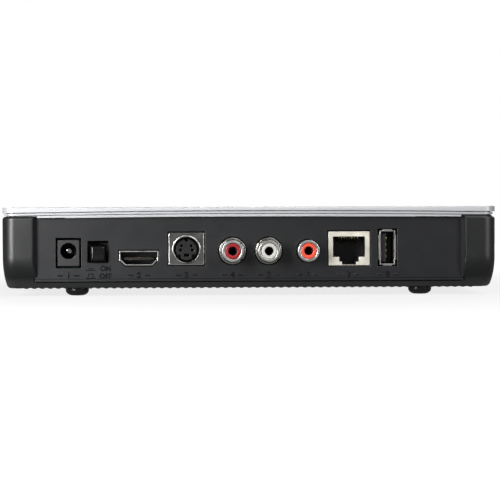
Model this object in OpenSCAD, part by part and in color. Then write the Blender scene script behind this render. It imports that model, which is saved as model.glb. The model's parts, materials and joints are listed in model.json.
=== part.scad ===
// Media player: a two-part plastic case with a row of sockets along its back and a pull-out
// tray for a 2.5 inch hard drive in its front. Z is up, the sockets face +Y and the tray comes
// out towards -Y. The origin is on the table, under the middle of the whole part.

/* [Case] */
// Width of the case
case_w = 191; // [187:1:204]
// Depth of the case between its front and rear faces
case_d = 150; // [148:1:166]
// Height of the lower housing from the rib tips to the tops of its corner blocks
shell_h = 28.2; // [27.8:0.1:31]
// Thickness of the side walls
wall = 2; // [1.6:0.1:2.3]
// Thickness of the floor, ribs included
floor_t = 2; // [1.8:0.1:2.6]
// Radius of the upright corners, seen from above
corner_r = 5; // [3:0.5:7]
// Radius along the tops of the corner blocks
rim_r = 1.2; // [0.4:0.1:1.6]
// Radius between the sides and the underside
base_r = 1.5; // [1.1:0.1:2.5]
// How far the sides draw in at the underside
side_tuck = 1.3; // [0.5:0.1:2]
// How far the front and rear draw in at the underside
end_tuck = 8; // [5:0.1:8.5]
// Height over which the lower walls draw in
tuck_h = 12.4; // [12:0.2:14]
// Distance between the ribs of the underside
rib_pitch = 3.1; // [2.4:0.1:5]
// Width of each rib
rib_w = 1.9; // [1:0.1:2.2]
// Height of each rib
rib_h = 0.3; // [0.2:0.05:0.8]

/* [Recesses] */
// Width of each corner block beside a recess
block_w = 13.4; // [12.5:0.1:13.8]
// Depth of the front and rear recesses
recess_d = 3; // [2:0.1:4]
// How far each slanted recess side leans outwards
recess_draft = 1.4; // [0.6:0.1:2]
// Radius along the outer edge of each recess side
edge_r = 0.6; // [0.3:0.1:0.9]
// Height of the lip below each recess, from the rib tips
lip_h = 2.8; // [2.7:0.1:3.4]
// Thickness of the rear panel and of the front fascia
panel_t = 2; // [1.6:0.1:2.4]
// Gap below the rear panel and the fascia
panel_gap = 0.25; // [0.1:0.05:0.5]
// Depth of the slots that hold the ends of the panels
slot_d = 1.2; // [0.8:0.1:1.5]
// Gap at the ends of the panels in their slots
slot_gap = 0.2; // [0.1:0.05:0.4]
// Thickness of the block walls beside the recesses
cheek_t = 2.5; // [2.2:0.1:2.8]
// Depth of the block walls from the face of the blocks
cheek_d = 9; // [8:0.5:11]

/* [Top cover] */
// Height of the top cover above the corner blocks
lid_h = 3.5; // [3.3:0.1:5]
// Height of the seams between the bands
seam_h = 0.25; // [0.15:0.05:0.35]
// Height of the middle band
band_h = 0.85; // [0.6:0.05:1.2]
// How far the middle band stands back from the edge of the cover
band_inset = 0.8; // [0.6:0.05:1.4]
// How far the flange over each recess stands back from the edge of the cover
flange_inset = 1.35; // [1:0.05:2]
// Height of that flange
flange_h = 0.8; // [0.5:0.05:1.2]
// Depth of that flange
flange_d = 6; // [5:0.5:8]
// How far the cover's seat stands back from its edge at the sides
seat_inset = 1.5; // [1.2:0.05:1.55]
// How far the cover's core stands back from its edge at the front and rear
core_inset = 2.2; // [2:0.05:2.6]
// Rise of the seams in the middle of the width
seam_bow = 0.75; // [0:0.05:0.9]
// Thickness of the cover's plate
plate_t = 2; // [1.6:0.1:2.4]
// Radius along the top edge of the cover
lid_edge_r = 0.6; // [0.2:0.1:0.8]
// Clearance between the cover's flange and what stands below it
lid_gap = 0.15; // [0.1:0.05:0.3]

/* [Feet] */
// Diameter of each rubber foot
foot_d = 9.1; // [7:0.1:12]
// Height of the rib tips above the table
foot_h = 2.8; // [2:0.1:5]
// Diameter of the flat under each foot's dome
foot_flat_d = 3.6; // [2:0.1:5]
// Height of each foot's dome
foot_dome_h = 2.1; // [1:0.1:2.4]
// Distance of each foot's centre from the side of the case
foot_side = 28; // [22:0.5:34]
// Distance of each foot's centre from the front or rear face
foot_end = 15.5; // [15:0.5:20]
// Depth of the seat that each foot is glued into
foot_seat = 1; // [0.7:0.1:1.2]

/* [Screws] */
// Diameter of the screw shanks
screw_d = 3; // [2.5:0.1:3.2]
// Diameter of the screw heads
head_d = 5.6; // [5:0.1:5.8]
// Height of the screw heads
head_h = 1.8; // [1.2:0.1:2.2]
// Radial clearance of the screws in their posts
screw_gap = 0.05; // [0.02:0.01:0.1]
// Radial clearance of the screws in the boards and sheets
hole_gap = 0.15; // [0.1:0.05:0.3]
// Diameter of the posts that the boards stand on
post_d = 6.2; // [5.8:0.1:7]
// Diameter of the case screw posts in the corners
corner_post_d = 7.8; // [7.2:0.1:8]
// Distance of the case screws from the sides of the case
case_screw_side = 6.1; // [6:0.1:6.5]
// Distance of the case screws from the front and rear faces
case_screw_end = 11.5; // [11:0.1:12]
// Height of the shoulder under each case screw's head, from the rib tips
case_screw_seat = 3.2; // [3:0.1:5]
// Length of the case screws under their heads
case_screw_l = 18; // [14:0.5:20]
// Height of the split between the housing's and the cover's screw posts, above the rib tips
post_split = 12; // [10:0.5:15]
// Length of the short screws under their heads
screw_l = 5; // [4:0.5:5.5]

/* [Main board] */
// Thickness of the circuit boards
board_t = 1.6; // [1.2:0.1:2]
// Height of the main board's top face above the floor
board_lift = 6.4; // [6:0.1:8]
// Depth of the main board
board_d = 62; // [58:1:66]
// Gap between the main board and the rear panel
board_gap = 1; // [0.5:0.1:2]
// Gap between the main board's ends and the recess sides
board_side = 2.5; // [1:0.5:5]
// Distance of the board screws from the ends of the board
board_screw_in = 4; // [3.5:0.5:6]

/* [Power socket and switch] */
// Distance of the power socket from the side of the rear recess
dc_side = 12.1; // [12:0.1:14]
// Width of the power socket
dc_w = 8.4; // [8:0.1:9]
// Height of the power socket
dc_h = 10.1; // [9.6:0.1:10.6]
// Depth of the power socket behind the panel's face
dc_d = 14; // [12:0.5:16]
// Height of the power socket's centre above the board
dc_rise = 5.6; // [5.4:0.1:6]
// Height of the plug hole above the socket's centre
dc_hole_rise = 0.8; // [0:0.1:1]
// Diameter of the plug hole
dc_hole_d = 6.2; // [5.8:0.1:6.4]
// Diameter of the centre pin
dc_pin_d = 2.5; // [2:0.1:2.6]
// Distance of the pin's tip behind the socket's face
dc_pin_in = 3; // [2:0.5:6]
// Clearance around the power socket in the panel
dc_gap = 0.65; // [0.2:0.05:0.7]
// Distance between the power socket and the switch
switch_pitch = 11.4; // [11.3:0.1:12.5]
// Width of the switch opening in the panel
switch_w = 8; // [7.4:0.1:9]
// Height of the switch opening in the panel
switch_h = 8.3; // [7.8:0.1:9]
// Height of the switch opening's centre above the board
switch_rise = 6.05; // [6:0.05:6.5]
// How far the button's centre lies below the opening's centre
button_drop = 0.5; // [0:0.1:0.6]
// Width of the button at its base
button_w = 6.4; // [5:0.1:6.6]
// Height of the button at its base
button_h = 6.8; // [5.5:0.1:6.8]
// Draft of the button's sides, at each side
button_draft = 0.85; // [0.2:0.05:1]
// How far the button stands out of the panel
button_out = 3.2; // [3:0.1:5]
// How far the button moves in
button_travel = 2.5; // [1.5:0.1:2.8]
// Diameter of the switch's plunger
plunger_d = 3; // [2.4:0.1:3.4]
// Depth of the switch body
switch_d = 9; // [7:0.5:11]

/* [Metal sockets] */
// Distance between the switch and the HDMI socket
hdmi_pitch = 15.7; // [15:0.1:17]
// Width of the HDMI shell
hdmi_w = 15.1; // [14.8:0.1:15.4]
// Height of the HDMI shell
hdmi_h = 5.6; // [5.4:0.1:5.9]
// Depth of the HDMI shell
hdmi_d = 11; // [10:0.5:14]
// Height of the HDMI socket's centre above the board
hdmi_rise = 3.55; // [3.4:0.05:4]
// Thickness of the socket shells' sheet metal
sheet_t = 0.4; // [0.3:0.05:0.5]
// Clearance of the sockets in the panel's openings
port_gap = 0.4; // [0.2:0.05:0.6]
// Distance between the HDMI and S-video sockets
svideo_pitch = 18.4; // [17.5:0.1:20]
// Width of the S-video shield
svideo_w = 13.7; // [13:0.1:14.2]
// Height of the S-video shield
svideo_h = 12.45; // [12:0.05:13]
// Depth of the S-video shield
svideo_d = 12; // [10:0.5:14]
// Height of the S-video shield's centre above the board
svideo_rise = 7.1; // [7:0.1:7.6]
// Diameter of the S-video socket's round mouth
svideo_mouth_d = 9.9; // [9.4:0.1:10.1]
// Outer diameter of the rolled ring around the S-video socket's mouth
svideo_ring_d = 10.7; // [10.4:0.1:11.2]
// Diameter of the S-video socket's insert
svideo_insert_d = 8.1; // [7.6:0.1:8.3]

/* [Audio sockets] */
// Distance between the S-video and red audio sockets
red_pitch = 17.8; // [16:0.1:19]
// Distance between the red and white audio sockets
white_pitch = 14; // [13.5:0.05:15]
// Distance between the white audio socket and the orange digital socket
coax_pitch = 15.2; // [14.6:0.1:16]
// Height of the audio sockets' centres above the board
audio_rise = 6.2; // [6.2:0.1:6.6]
// Outer diameter of the socket barrels
barrel_d = 8.3; // [8.2:0.1:8.4]
// Wall thickness of the socket barrels
barrel_t = 1; // [0.85:0.05:1]
// How much smaller the diameter of the barrels' necks is, behind the collars' fronts
neck_step = 1; // [0.8:0.1:1.2]
// How far the barrels stand out of the panel
barrel_out = 6.5; // [4:0.5:9]
// Outer diameter of the slotted collars around the audio barrels
collar_d = 10.3; // [9.9:0.1:10.4]
// Wall thickness of the collars
collar_t = 0.7; // [0.3:0.05:0.75]
// How far the collars stand out of the panel
collar_out = 0.5; // [0.2:0.1:1.5]
// Width of the two slots in each collar
collar_slot = 1.1; // [0.5:0.1:1.4]
// Clearance of the collars and of the digital socket's barrel in the panel
collar_gap = 0.4; // [0.2:0.05:0.6]
// Diameter of the plug holes in the sockets' inserts
pin_hole_d = 3.4; // [3.2:0.1:3.6]
// How far the inserts lie behind the barrels' mouths
insert_in = 0.3; // [0.1:0.1:1]
// Width of each socket's block on the board
audio_w = 12; // [11:0.1:12.4]
// Depth of each socket's block on the board
audio_d = 11; // [9:0.5:13]
// Thickness of the blocks behind the barrels
barrel_seat = 3; // [2:0.5:4]
// Gap between the audio blocks and the panel
audio_gap = 0.5; // [0.2:0.1:1]

/* [Network and USB sockets] */
// Distance between the digital and network sockets
lan_pitch = 16; // [15.2:0.05:17]
// Width of the network socket
lan_w = 15.9; // [15.6:0.1:16.2]
// Height of the network socket
lan_h = 13.1; // [12.8:0.1:13.4]
// Depth of the network socket
lan_d = 21; // [18:0.5:23]
// Height of the network socket's centre above the board
lan_rise = 7; // [6.9:0.1:7.4]
// Width of the network socket's mouth
lan_mouth_w = 12.2; // [12:0.1:12.4]
// Height of the network socket's mouth above its latch notch
lan_mouth_h = 7.6; // [7.4:0.1:7.8]
// How far the network socket's mouth lies below the top of its shield
lan_mouth_in = 2.1; // [1.8:0.1:2.4]
// Depth of the network socket's mouth
lan_mouth_d = 12; // [11:0.5:14]
// Distance between the network and USB sockets
usb_pitch = 14.9; // [14.6:0.1:17]
// Inside width of the USB shell, which stands on its edge
usb_in_w = 5.12; // [5:0.02:5.3]
// Inside height of the USB shell
usb_in_h = 12.5; // [12.3:0.1:12.7]
// Depth of the USB shell
usb_d = 14; // [12:0.5:16]
// Height of the USB socket's centre above the board
usb_rise = 7.3; // [7.2:0.1:7.8]
// How far the lips of the USB shell flare outwards
usb_lip = 0.4; // [0.3:0.05:0.6]
// Thickness of the tongue in the USB socket
usb_tongue_w = 1.8; // [1.6:0.1:2]

/* [Hard drive] */
// Width of the hard drive
drive_w = 69.85; // [69.6:0.05:70.1]
// Length of the hard drive
drive_l = 100.2; // [100:0.1:101]
// Height of the hard drive
drive_h = 9.5; // [7:0.5:9.5]
// Thickness of the hard drive's top cover
drive_cover_t = 0.8; // [0.5:0.1:1]
// Thickness of the hard drive's circuit board
drive_board_t = 1; // [0.8:0.1:1.2]
// Clearance between the drive and the tray's sides
drive_gap = 0.25; // [0.15:0.05:0.4]

/* [Tray] */
// Thickness of the tray's sides
tray_wall = 1.8; // [1.6:0.1:2.2]
// Thickness of the tray's floor
tray_floor = 1.5; // [1.2:0.1:1.8]
// Thickness of the tray's front wall
tray_front = 2; // [1.8:0.1:2.5]
// Clearance between the tray and its cage
tray_gap = 0.35; // [0.25:0.05:0.4]
// How far the tray slides out
tray_travel = 105; // [80:1:110]
// Thickness of the cage's sheet steel
cage_t = 1; // [0.8:0.1:1.2]
// Height of the cage's underside above the main board
cage_lift = 2.8; // [2.6:0.1:3.2]
// Width of the cage's upper returns
cage_return = 4; // [3:0.5:6]
// Length of each fixing tab of the cage
tab_l = 9; // [8:0.5:12]
// Thickness of the tray's bezel
bezel_t = 5; // [4.8:0.1:5.4]
// Height of the tray's bezel
bezel_h = 13.6; // [13.4:0.1:13.8]
// How far the bezel overlaps each side of the tray
bezel_over = 1.8; // [1:0.1:2.5]
// How far the bezel stands out of the fascia
bezel_out = 0.8; // [0:0.1:1.2]
// Clearance around the bezel in the fascia
bezel_gap = 0.35; // [0.3:0.05:0.6]
// Distance of the bezel from the recess side
bezel_side = 4.5; // [3:0.5:6]
// Height of the lever
lever_h = 7.6; // [6:0.1:8]
// Thickness of the lever
lever_t = 2.4; // [2:0.1:2.6]
// Diameter of the lever's pin
lever_pin_d = 1.2; // [1:0.1:1.4]
// Distance of the lever's pin from the bezel's end
lever_in = 9; // [8.5:0.5:10.5]
// Running clearance of the pin in the lever
pin_gap = 0.05; // [0.02:0.01:0.08]
// Clearance of the lever in the bezel
lever_gap = 0.35; // [0.3:0.05:0.5]
// Width and height of the release button
latch_w = 7; // [6:0.1:7.6]
// Distance of the release button from the bezel's other end
latch_side = 15; // [14:0.5:18]
// Gap between the lever's end and the release button
latch_space = 4; // [3:0.5:5]
// How far the release button moves in
latch_travel = 1.2; // [0.8:0.1:1.4]
// Width of the flange that keeps the release button in
latch_flange = 0.8; // [0.6:0.1:1]

/* [Front] */
// Width of the infrared window
ir_w = 22; // [18:1:26]
// Height of the infrared window
ir_h = 9; // [7:0.5:11]
// Distance of the infrared window from the post of the front board beside it
ir_side = 3; // [2:0.5:8]
// Distance between the light pipe's two ends
pipe_pitch = 8; // [7:0.5:11]
// Diameter of the light pipe's ends
pipe_d = 3; // [2:0.1:4]
// Clearance of the window and the light pipe in the fascia
window_gap = 0.1; // [0.05:0.05:0.2]
// Height of the front board
front_board_h = 18; // [16:0.5:19]
// Gap between the fascia and the front board
front_board_gap = 4; // [3.5:0.1:5]
// Width of the flat cable between the boards
ribbon_w = 14; // [8:1:18]

/* [Hidden] */

$fn = 48;
eps = 0.01;
cut = 1;

// Heights of the case
floor_z = foot_h + floor_t;
root_z = foot_h + rib_h;
rim_z = foot_h + shell_h;
lid_z = rim_z + lid_h;
lip_z = foot_h + lip_h;
panel_z = lip_z + panel_gap;
tuck_z = foot_h + tuck_h;
plate_z = lid_z - plate_t;
screw_top = foot_h + case_screw_seat + case_screw_l;

// Places in the plan of the case
side_x = case_w / 2;
end_y = case_d / 2;
recess_x = side_x - block_w;
panel_y = end_y - recess_d;
panel_x = recess_x + slot_d - slot_gap;
side_r = (tuck_h * tuck_h + side_tuck * side_tuck) / (2 * side_tuck);
end_r = (tuck_h * tuck_h + end_tuck * end_tuck) / (2 * end_tuck);

// The barrels reach past the corner blocks, so the case sits a little forward of the origin
overhang = max(barrel_out, button_out) - recess_d;
shift_y = -max(overhang, 0) / 2;

// Places of the sockets in X, from the power socket to the USB socket
dc_x = recess_x - dc_side;
switch_x = dc_x - switch_pitch;
hdmi_x = switch_x - hdmi_pitch;
svideo_x = hdmi_x - svideo_pitch;
red_x = svideo_x - red_pitch;
white_x = red_x - white_pitch;
coax_x = white_x - coax_pitch;
lan_x = coax_x - lan_pitch;
usb_x = lan_x - usb_pitch;

// Corners that take feet and screws: sign in X, then in Y
CORNERS = [[-1, -1], [1, -1], [-1, 1], [1, 1]];

// Main board
board_z = floor_z + board_lift;
board_w = 2 * (recess_x - board_side);
board_y1 = panel_y - panel_t - board_gap;
board_y0 = board_y1 - board_d;
board_screw_x = board_w / 2 - board_screw_in;
board_screw_y = board_y0 + board_screw_in;
board_screw_y2 = board_y1 - 2 * post_d - board_screw_in;

// Main chip
chip_x = -board_w / 4;
chip_y = board_y0 + board_d / 3;
chip_w = 27;
chip_t = 1.6;

// Switch: how far the button's flange lies ahead of the panel's back, and the spring's length
button_catch = 0.3;
spring_l = 2.8;

// Tray, drive and cage, from the bezel's front towards the rear
tray_z = board_z + cage_lift + cage_t + tray_gap;
tray_w = drive_w + 2 * (tray_wall + drive_gap);
bezel_w = tray_w + 2 * bezel_over;
tray_x = recess_x - bezel_side - bezel_w / 2;
bezel_y0 = -panel_y - bezel_out;
bezel_y1 = bezel_y0 + bezel_t;
drive_y0 = bezel_y1 + tray_front + 2 * drive_gap;
drive_y1 = drive_y0 + drive_l;
drive_z = tray_z + tray_floor;
tray_h = tray_floor + drive_h + 2 * drive_gap;
cage_z = tray_z - tray_gap - cage_t;
cage_w = tray_w + 2 * (tray_gap + cage_t);
cage_h = tray_h + 2 * tray_gap + 2 * cage_t;
cage_y0 = bezel_y1 + 2 * tray_gap;
cage_hole = tray_x - cage_w / 2 - tab_l / 2;
cage_hole_2 = tray_x + cage_w / 2 + tab_l / 2;
cage_screw_ys = [-end_y + case_screw_end + (corner_post_d + tab_l) / 2 + hole_gap, board_y0 - tab_l];
plug_in = 3.5;
dock_gap = 0.4;
dock_body = 3.2;
dock_y = drive_y1 + dock_gap + dock_body;
dock_w = 60;
plug_w = 40;

// Openings in the tray's floor, and the screws that hold its bezel
floor_slot_w = 12;
floor_slot_pitch = 17;
bezel_screw_d = 2;
bezel_screw_in = tray_wall + bezel_screw_d + hole_gap;
bezel_screw_l = 3;

// Lever and release button in the bezel
lever_x = tray_x - bezel_w / 2 + lever_in;
lever_y = bezel_y0 + lever_t / 2 + lever_gap / 2;
lever_z = tray_z + bezel_h / 2;
latch_x = tray_x + bezel_w / 2 - latch_side;
lever_l = latch_x - latch_w / 2 - latch_space - lever_x;
latch_head_t = 1.8;
latch_gap = 0.3;
latch_flange_t = 0.8;
latch_pocket = 1.2;

// Front board, and the connectors of the flat cable
front_screw_in = 5;
front_board_lift = 1.5;
cable_plug_w = ribbon_w + 4;
cable_plug_in = 2;
front_x = (-recess_x + board_side + tray_x - bezel_w / 2 - board_side) / 2;
front_w = recess_x - board_side + tray_x - bezel_w / 2 - board_side;
front_y = -panel_y + panel_t + front_board_gap;
front_z = floor_z + front_board_lift;
front_hole_z = front_z + front_board_h / 2;
ir_x = -recess_x + board_side + front_screw_in + post_d / 2 + ir_side + ir_w / 2;
window_z = (lip_z + rim_z) / 2;
pipe_x = (ir_x + ir_w / 2 + front_x + front_w / 2 - front_screw_in - post_d / 2 - pipe_pitch) / 2;

// Points of an arc about c from angle a0 to a1
function arc(c, r, a0, a1, n = 6) =
    [for (i = [0:n]) let (a = a0 + (a1 - a0) * i / n) [c[0] + r * cos(a), c[1] + r * sin(a)]];

// Points of a rectangle with rounded corners, about the origin
function round_rect(w, d, r, n = 7) = concat(
    arc([w / 2 - r, d / 2 - r], r, 0, 90, n),
    arc([-w / 2 + r, d / 2 - r], r, 90, 180, n),
    arc([-w / 2 + r, -d / 2 + r], r, 180, 270, n),
    arc([w / 2 - r, -d / 2 + r], r, 270, 360, n));

// How far a wall has drawn in at height z: it follows a circle of radius big below tuck_z, and
// meets the underside at z0 with radius r
function draw_in(z, big, r, z0) =
    let (low = max(tuck_z - z, 0), foot = max(z0 + r - z, 0))
    big - sqrt(big * big - low * low) + r - sqrt(max(r * r - foot * foot, 0));

// Ring of points at height z round the case, dx inside its sides and dy inside its ends
function case_ring(z, dx, dy, r) =
    [for (p = round_rect(case_w - 2 * dx, case_d - 2 * dy, r)) [p[0], p[1], z]];

// Rings of the lower housing's wall at a depth inside its outer face, with radius r at z0
function wall_rings(depth, r, z0) =
    let (steps = 9, z1 = z0 + r, heights = concat(
        [for (a = [0:22.5:67.5]) z1 - r * cos(a)],
        [for (i = [0:steps]) z1 + (tuck_z - z1) * i / steps]))
    [for (z = heights) case_ring(z, depth + draw_in(z, side_r - depth, r, z0),
                                 depth + draw_in(z, end_r - depth, r, z0), corner_r - depth)];

// The same outline with its left half added
function both_sides(pts) =
    concat(pts, [for (i = [len(pts) - 1:-1:0]) [-pts[i][0], pts[i][1]]]);

// Points of one rib of the underside, a flat arch centred on x
function rib(x) = [for (t = [-1, -0.6, 0, 0.6, 1]) [x + t * rib_w / 2, root_z - rib_h * (1 - t * t)]];

// Rise of the cover's seams at x
function bow(x) = seam_bow * (1 - pow(x / side_x, 2));

// Points of a line that follows the seams at height z, from x0 to x1
function bowed(z, x0, x1, n = 16) = [for (i = [0:n]) let (x = x0 + (x1 - x0) * i / n) [x, z + bow(x)]];

// Extrudes an outline drawn in X and Z along Y, from y0 to y1
module along_y(y0, y1) {
    translate([0, y1, 0])
        rotate([90, 0, 0])
            linear_extrude(height = y1 - y0)
                children();
}

// Extrudes an outline drawn in Y and Z along X, from x0 to x1
module along_x(x0, x1) {
    translate([x0, 0, 0])
        rotate([90, 0, 90])
            linear_extrude(height = x1 - x0)
                children();
}

// A box given by its middle in X and by its limits in Y and Z
module slab(x, w, y0, y1, z0, z1) {
    translate([x - w / 2, y0, z0])
        cube([w, y1 - y0, z1 - z0]);
}

// A cylinder along Y between two places
module rod_y(d, x, z, y0, y1) {
    translate([x, y0, z])
        rotate([-90, 0, 0])
            cylinder(d = d, h = y1 - y0);
}

// A tube along Y between two places
module tube_y(d, inner_d, x, z, y0, y1) {
    difference() {
        rod_y(d, x, z, y0, y1);
        rod_y(inner_d, x, z, y0 - cut, y1 + cut);
    }
}

// Repeats something at the four corners, dx in from the sides and dy in from the front and rear
module at_corners(dx, dy, z) {
    for (c = CORNERS)
        translate([c[0] * (side_x - dx), c[1] * (end_y - dy), z])
            children();
}

// A screw that points down, with the underside of its head at the origin
module screw(length) {
    difference() {
        cylinder(d = head_d, h = head_h);
        translate([0, 0, head_h / 2])
            cylinder(d = head_d / 2, h = head_h, $fn = 6);
    }
    translate([0, 0, -length])
        cylinder(d = screw_d, h = length + eps);
}

// A coil spring along Z: wire of diameter wire, wound turns times at the mean diameter d
module coil_spring(d, wire, length, turns, sides = 6, steps = 16) {
    n = turns * steps;
    ring = [for (k = [0:sides - 1]) 360 * k / sides];
    rise = length - wire;
    points = [for (i = [0:n], a = ring)
        let (turn = 360 * i / steps, r = d / 2 + wire / 2 * cos(a))
        [r * cos(turn), r * sin(turn), wire / 2 + rise * i / n + wire / 2 * sin(a)]];
    sides_f = [for (i = [0:n - 1], k = [0:sides - 1], half = [0, 1])
        let (a = i * sides + k, b = i * sides + (k + 1) % sides)
        half == 0 ? [a, a + sides, b] : [b, a + sides, b + sides]];
    first = [for (k = [1:sides - 2]) [0, k, k + 1]];
    last = [for (k = [1:sides - 2]) [n * sides, n * sides + k + 1, n * sides + k]];
    polyhedron(points, concat(sides_f, first, last));
}

// ---- Case ----

// A closed solid through rings of points, from the lowest ring to the highest
module loft(rings) {
    n = len(rings[0]);
    top = len(rings) - 1;
    polyhedron(
        points = [for (ring = rings) each ring],
        faces = concat(
            [[for (j = [0:n - 1]) j]],
            [for (i = [0:top - 1], j = [0:n - 1]) let (k = (j + 1) % n)
                [i * n + j, (i + 1) * n + j, (i + 1) * n + k, i * n + k]],
            [[for (j = [n - 1:-1:0]) top * n + j]]));
}

// The outside of the lower housing, without its recesses
module housing_outside() {
    rib_n = floor((side_x - side_tuck - base_r - rib_w / 2) / rib_pitch);
    ribs = [for (i = [-rib_n:rib_n]) each rib(i * rib_pitch)];
    rim_rings = [for (p = arc([0, rim_z - rim_r], rim_r, 0, 90, 4))
        case_ring(p[1], rim_r - p[0], rim_r - p[0], corner_r)];
    intersection() {
        loft(concat(wall_rings(0, base_r, foot_h), rim_rings));
        along_y(-end_y - cut, end_y + cut)
            polygon(concat(both_sides([[side_x + cut, root_z], [side_x + cut, rim_z + cut]]), ribs));
    }
}

// The hollow of the lower housing
module housing_inside() {
    inner_r = 1;
    loft(concat(wall_rings(wall, inner_r, floor_z), [case_ring(rim_z + cut, wall, wall, corner_r - wall)]));
}

// What is cut from the rear of the housing for the recess and for the panel's slots
module recess_cut() {
    lean = atan2(recess_draft, recess_d);
    face_x = recess_x + recess_draft;
    // The edge radius is tangent to the block's face and to the slanted side
    turn = 90 - lean;
    reach = edge_r * tan(turn / 2);
    edge = arc([face_x + reach, end_y - edge_r], edge_r, 90, 90 + turn, 4);
    translate([0, 0, lip_z])
        linear_extrude(height = rim_z)
            polygon(both_sides(concat(
                [[recess_x, end_y - cheek_d - cut], [recess_x, panel_y]],
                [for (i = [len(edge) - 1:-1:0]) edge[i]],
                [[face_x + reach, end_y + cut]])));
    translate([0, 0, panel_z])
        linear_extrude(height = rim_z)
            translate([-recess_x - slot_d, panel_y - panel_t - slot_gap])
                square([2 * (recess_x + slot_d), panel_t + slot_gap]);
}

module lower_housing() color("#2c2d30") {
    difference() {
        union() {
            difference() {
                housing_outside();
                housing_inside();
            }
            intersection() {
                housing_outside();
                at_corners(block_w - cheek_t / 2, cheek_d / 2, rim_z / 2 + floor_z - eps)
                    cube([cheek_t, cheek_d, rim_z], center = true);
            }
            at_corners(case_screw_side, case_screw_end, floor_z - eps)
                cylinder(d = corner_post_d, h = foot_h + post_split - floor_z);
            for (p = board_posts())
                translate([p[0], p[1], floor_z - eps])
                    cylinder(d = post_d, h = board_lift - board_t + eps);
            for (y = cage_screw_ys, x = [cage_hole, cage_hole_2])
                translate([x, y, floor_z - eps])
                    cylinder(d = post_d, h = cage_z - floor_z + eps);
        }
        recess_cut();
        rotate([0, 0, 180])
            recess_cut();
        at_corners(case_screw_side, case_screw_end, 0) {
            cylinder(d = head_d + 4 * screw_gap, h = foot_h + case_screw_seat);
            cylinder(d = screw_d + 2 * screw_gap, h = rim_z);
        }
        at_corners(foot_side, foot_end, 0)
            cylinder(d = foot_d + 2 * screw_gap, h = foot_h + foot_seat);
        for (p = board_posts())
            translate([p[0], p[1], floor_z])
                cylinder(d = screw_d + 2 * screw_gap, h = board_lift);
        for (y = cage_screw_ys, x = [cage_hole, cage_hole_2])
            translate([x, y, floor_z])
                cylinder(d = screw_d + 2 * screw_gap, h = rim_z);
        vent_slots();
    }
}

// Air slots through the floor under the main board, between the ribs
module vent_slots() {
    slot_w = 1.4;
    slot_l = 24;
    slot_n = 6;
    middle = round(recess_x / 2 / rib_pitch);
    for (s = [-1, 1], i = [-slot_n:slot_n])
        slab((middle * s + i + 0.5) * rib_pitch, slot_w, board_y0 + slot_l / 2, board_y0 + 1.5 * slot_l,
             0, floor_z + cut);
}

// Places of the main board's posts, in X and Y
function board_posts() =
    [for (x = [-board_screw_x, board_screw_x], y = [board_screw_y, board_screw_y2]) [x, y]];

module top_cover() color("#e9e9ea") {
    band_z = rim_z + seam_h;
    slab_z = band_z + band_h + seam_h;
    flange_x = recess_x - slot_gap;
    band_w = case_w - 2 * band_inset;
    core_w = case_w - 2 * seat_inset;
    rim_w = flange_inset + flange_d;
    side_top = arc([side_x - lid_edge_r, lid_z - lid_edge_r], lid_edge_r, 0, 90, 5);
    end_top = arc([end_y - lid_edge_r, lid_z - lid_edge_r], lid_edge_r, 0, 90, 5);
    difference() {
        union() {
            // The top slab, with an edge radius all round and a bowed underside
            intersection() {
                linear_extrude(height = lid_z + cut)
                    polygon(round_rect(case_w, case_d, corner_r));
                along_y(-end_y - cut, end_y + cut)
                    polygon(concat(bowed(slab_z, -side_x, side_x), both_sides(side_top)));
                along_x(-side_x - cut, side_x + cut)
                    polygon(both_sides(concat([[end_y, rim_z]], end_top)));
            }
            // The middle band
            intersection() {
                linear_extrude(height = lid_z)
                    polygon(round_rect(band_w, case_d - 2 * band_inset, corner_r - band_inset));
                along_y(-end_y, end_y)
                    polygon(concat(bowed(band_z, -side_x, side_x), bowed(band_z + band_h, side_x, -side_x)));
            }
            // The core behind the seams, which rests on the housing
            translate([0, 0, rim_z])
                linear_extrude(height = lid_h - lid_edge_r)
                    polygon(round_rect(core_w, case_d - 2 * core_inset, corner_r - seat_inset));
            // The flanges over the two recesses
            for (y0 = [end_y - rim_w, -end_y + flange_inset])
                along_y(y0, y0 + flange_d)
                    polygon(concat(bowed(rim_z - flange_h, -flange_x, flange_x),
                                   bowed(rim_z, flange_x, -flange_x)));
        }
        // The hollow under the plate, which leaves a rim
        translate([0, 0, rim_z - cut])
            linear_extrude(height = plate_z - rim_z + cut)
                polygon(round_rect(core_w - 4 * wall, case_d - 2 * rim_w, wall));
    }
    // The posts that the case screws hold
    at_corners(case_screw_side, case_screw_end, 0)
        difference() {
            translate([0, 0, foot_h + post_split + screw_gap])
                cylinder(d = post_d, h = plate_z - foot_h - post_split + eps);
            cylinder(d = screw_d + 2 * screw_gap, h = screw_top + 2 * screw_gap);
        }
}

// One rubber foot, a dome whose top is glued into its seat
module foot(sx, sy) color("#151515") {
    rim = (foot_d - foot_flat_d) / 2;
    dome = [for (a = [0:10:90]) [foot_flat_d / 2 + rim * sin(a), foot_dome_h * (1 - cos(a))]];
    translate([sx * (side_x - foot_side), sy * (end_y - foot_end), 0])
        rotate_extrude()
            polygon(concat([[0, 0]], dome, [[foot_d / 2, foot_h + foot_seat], [0, foot_h + foot_seat]]));
}

module case_screws() color("#8f9194") {
    at_corners(case_screw_side, case_screw_end, foot_h + case_screw_seat)
        mirror([0, 0, 1])
            screw(case_screw_l);
}

// ---- Panels ----

// A plate that fills a recess: its top follows the cover's seams
module panel_plate() {
    along_y(panel_y - panel_t, panel_y)
        polygon(concat([[-panel_x, panel_z], [panel_x, panel_z]],
                       bowed(rim_z - flange_h - lid_gap, panel_x, -panel_x)));
}

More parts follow.
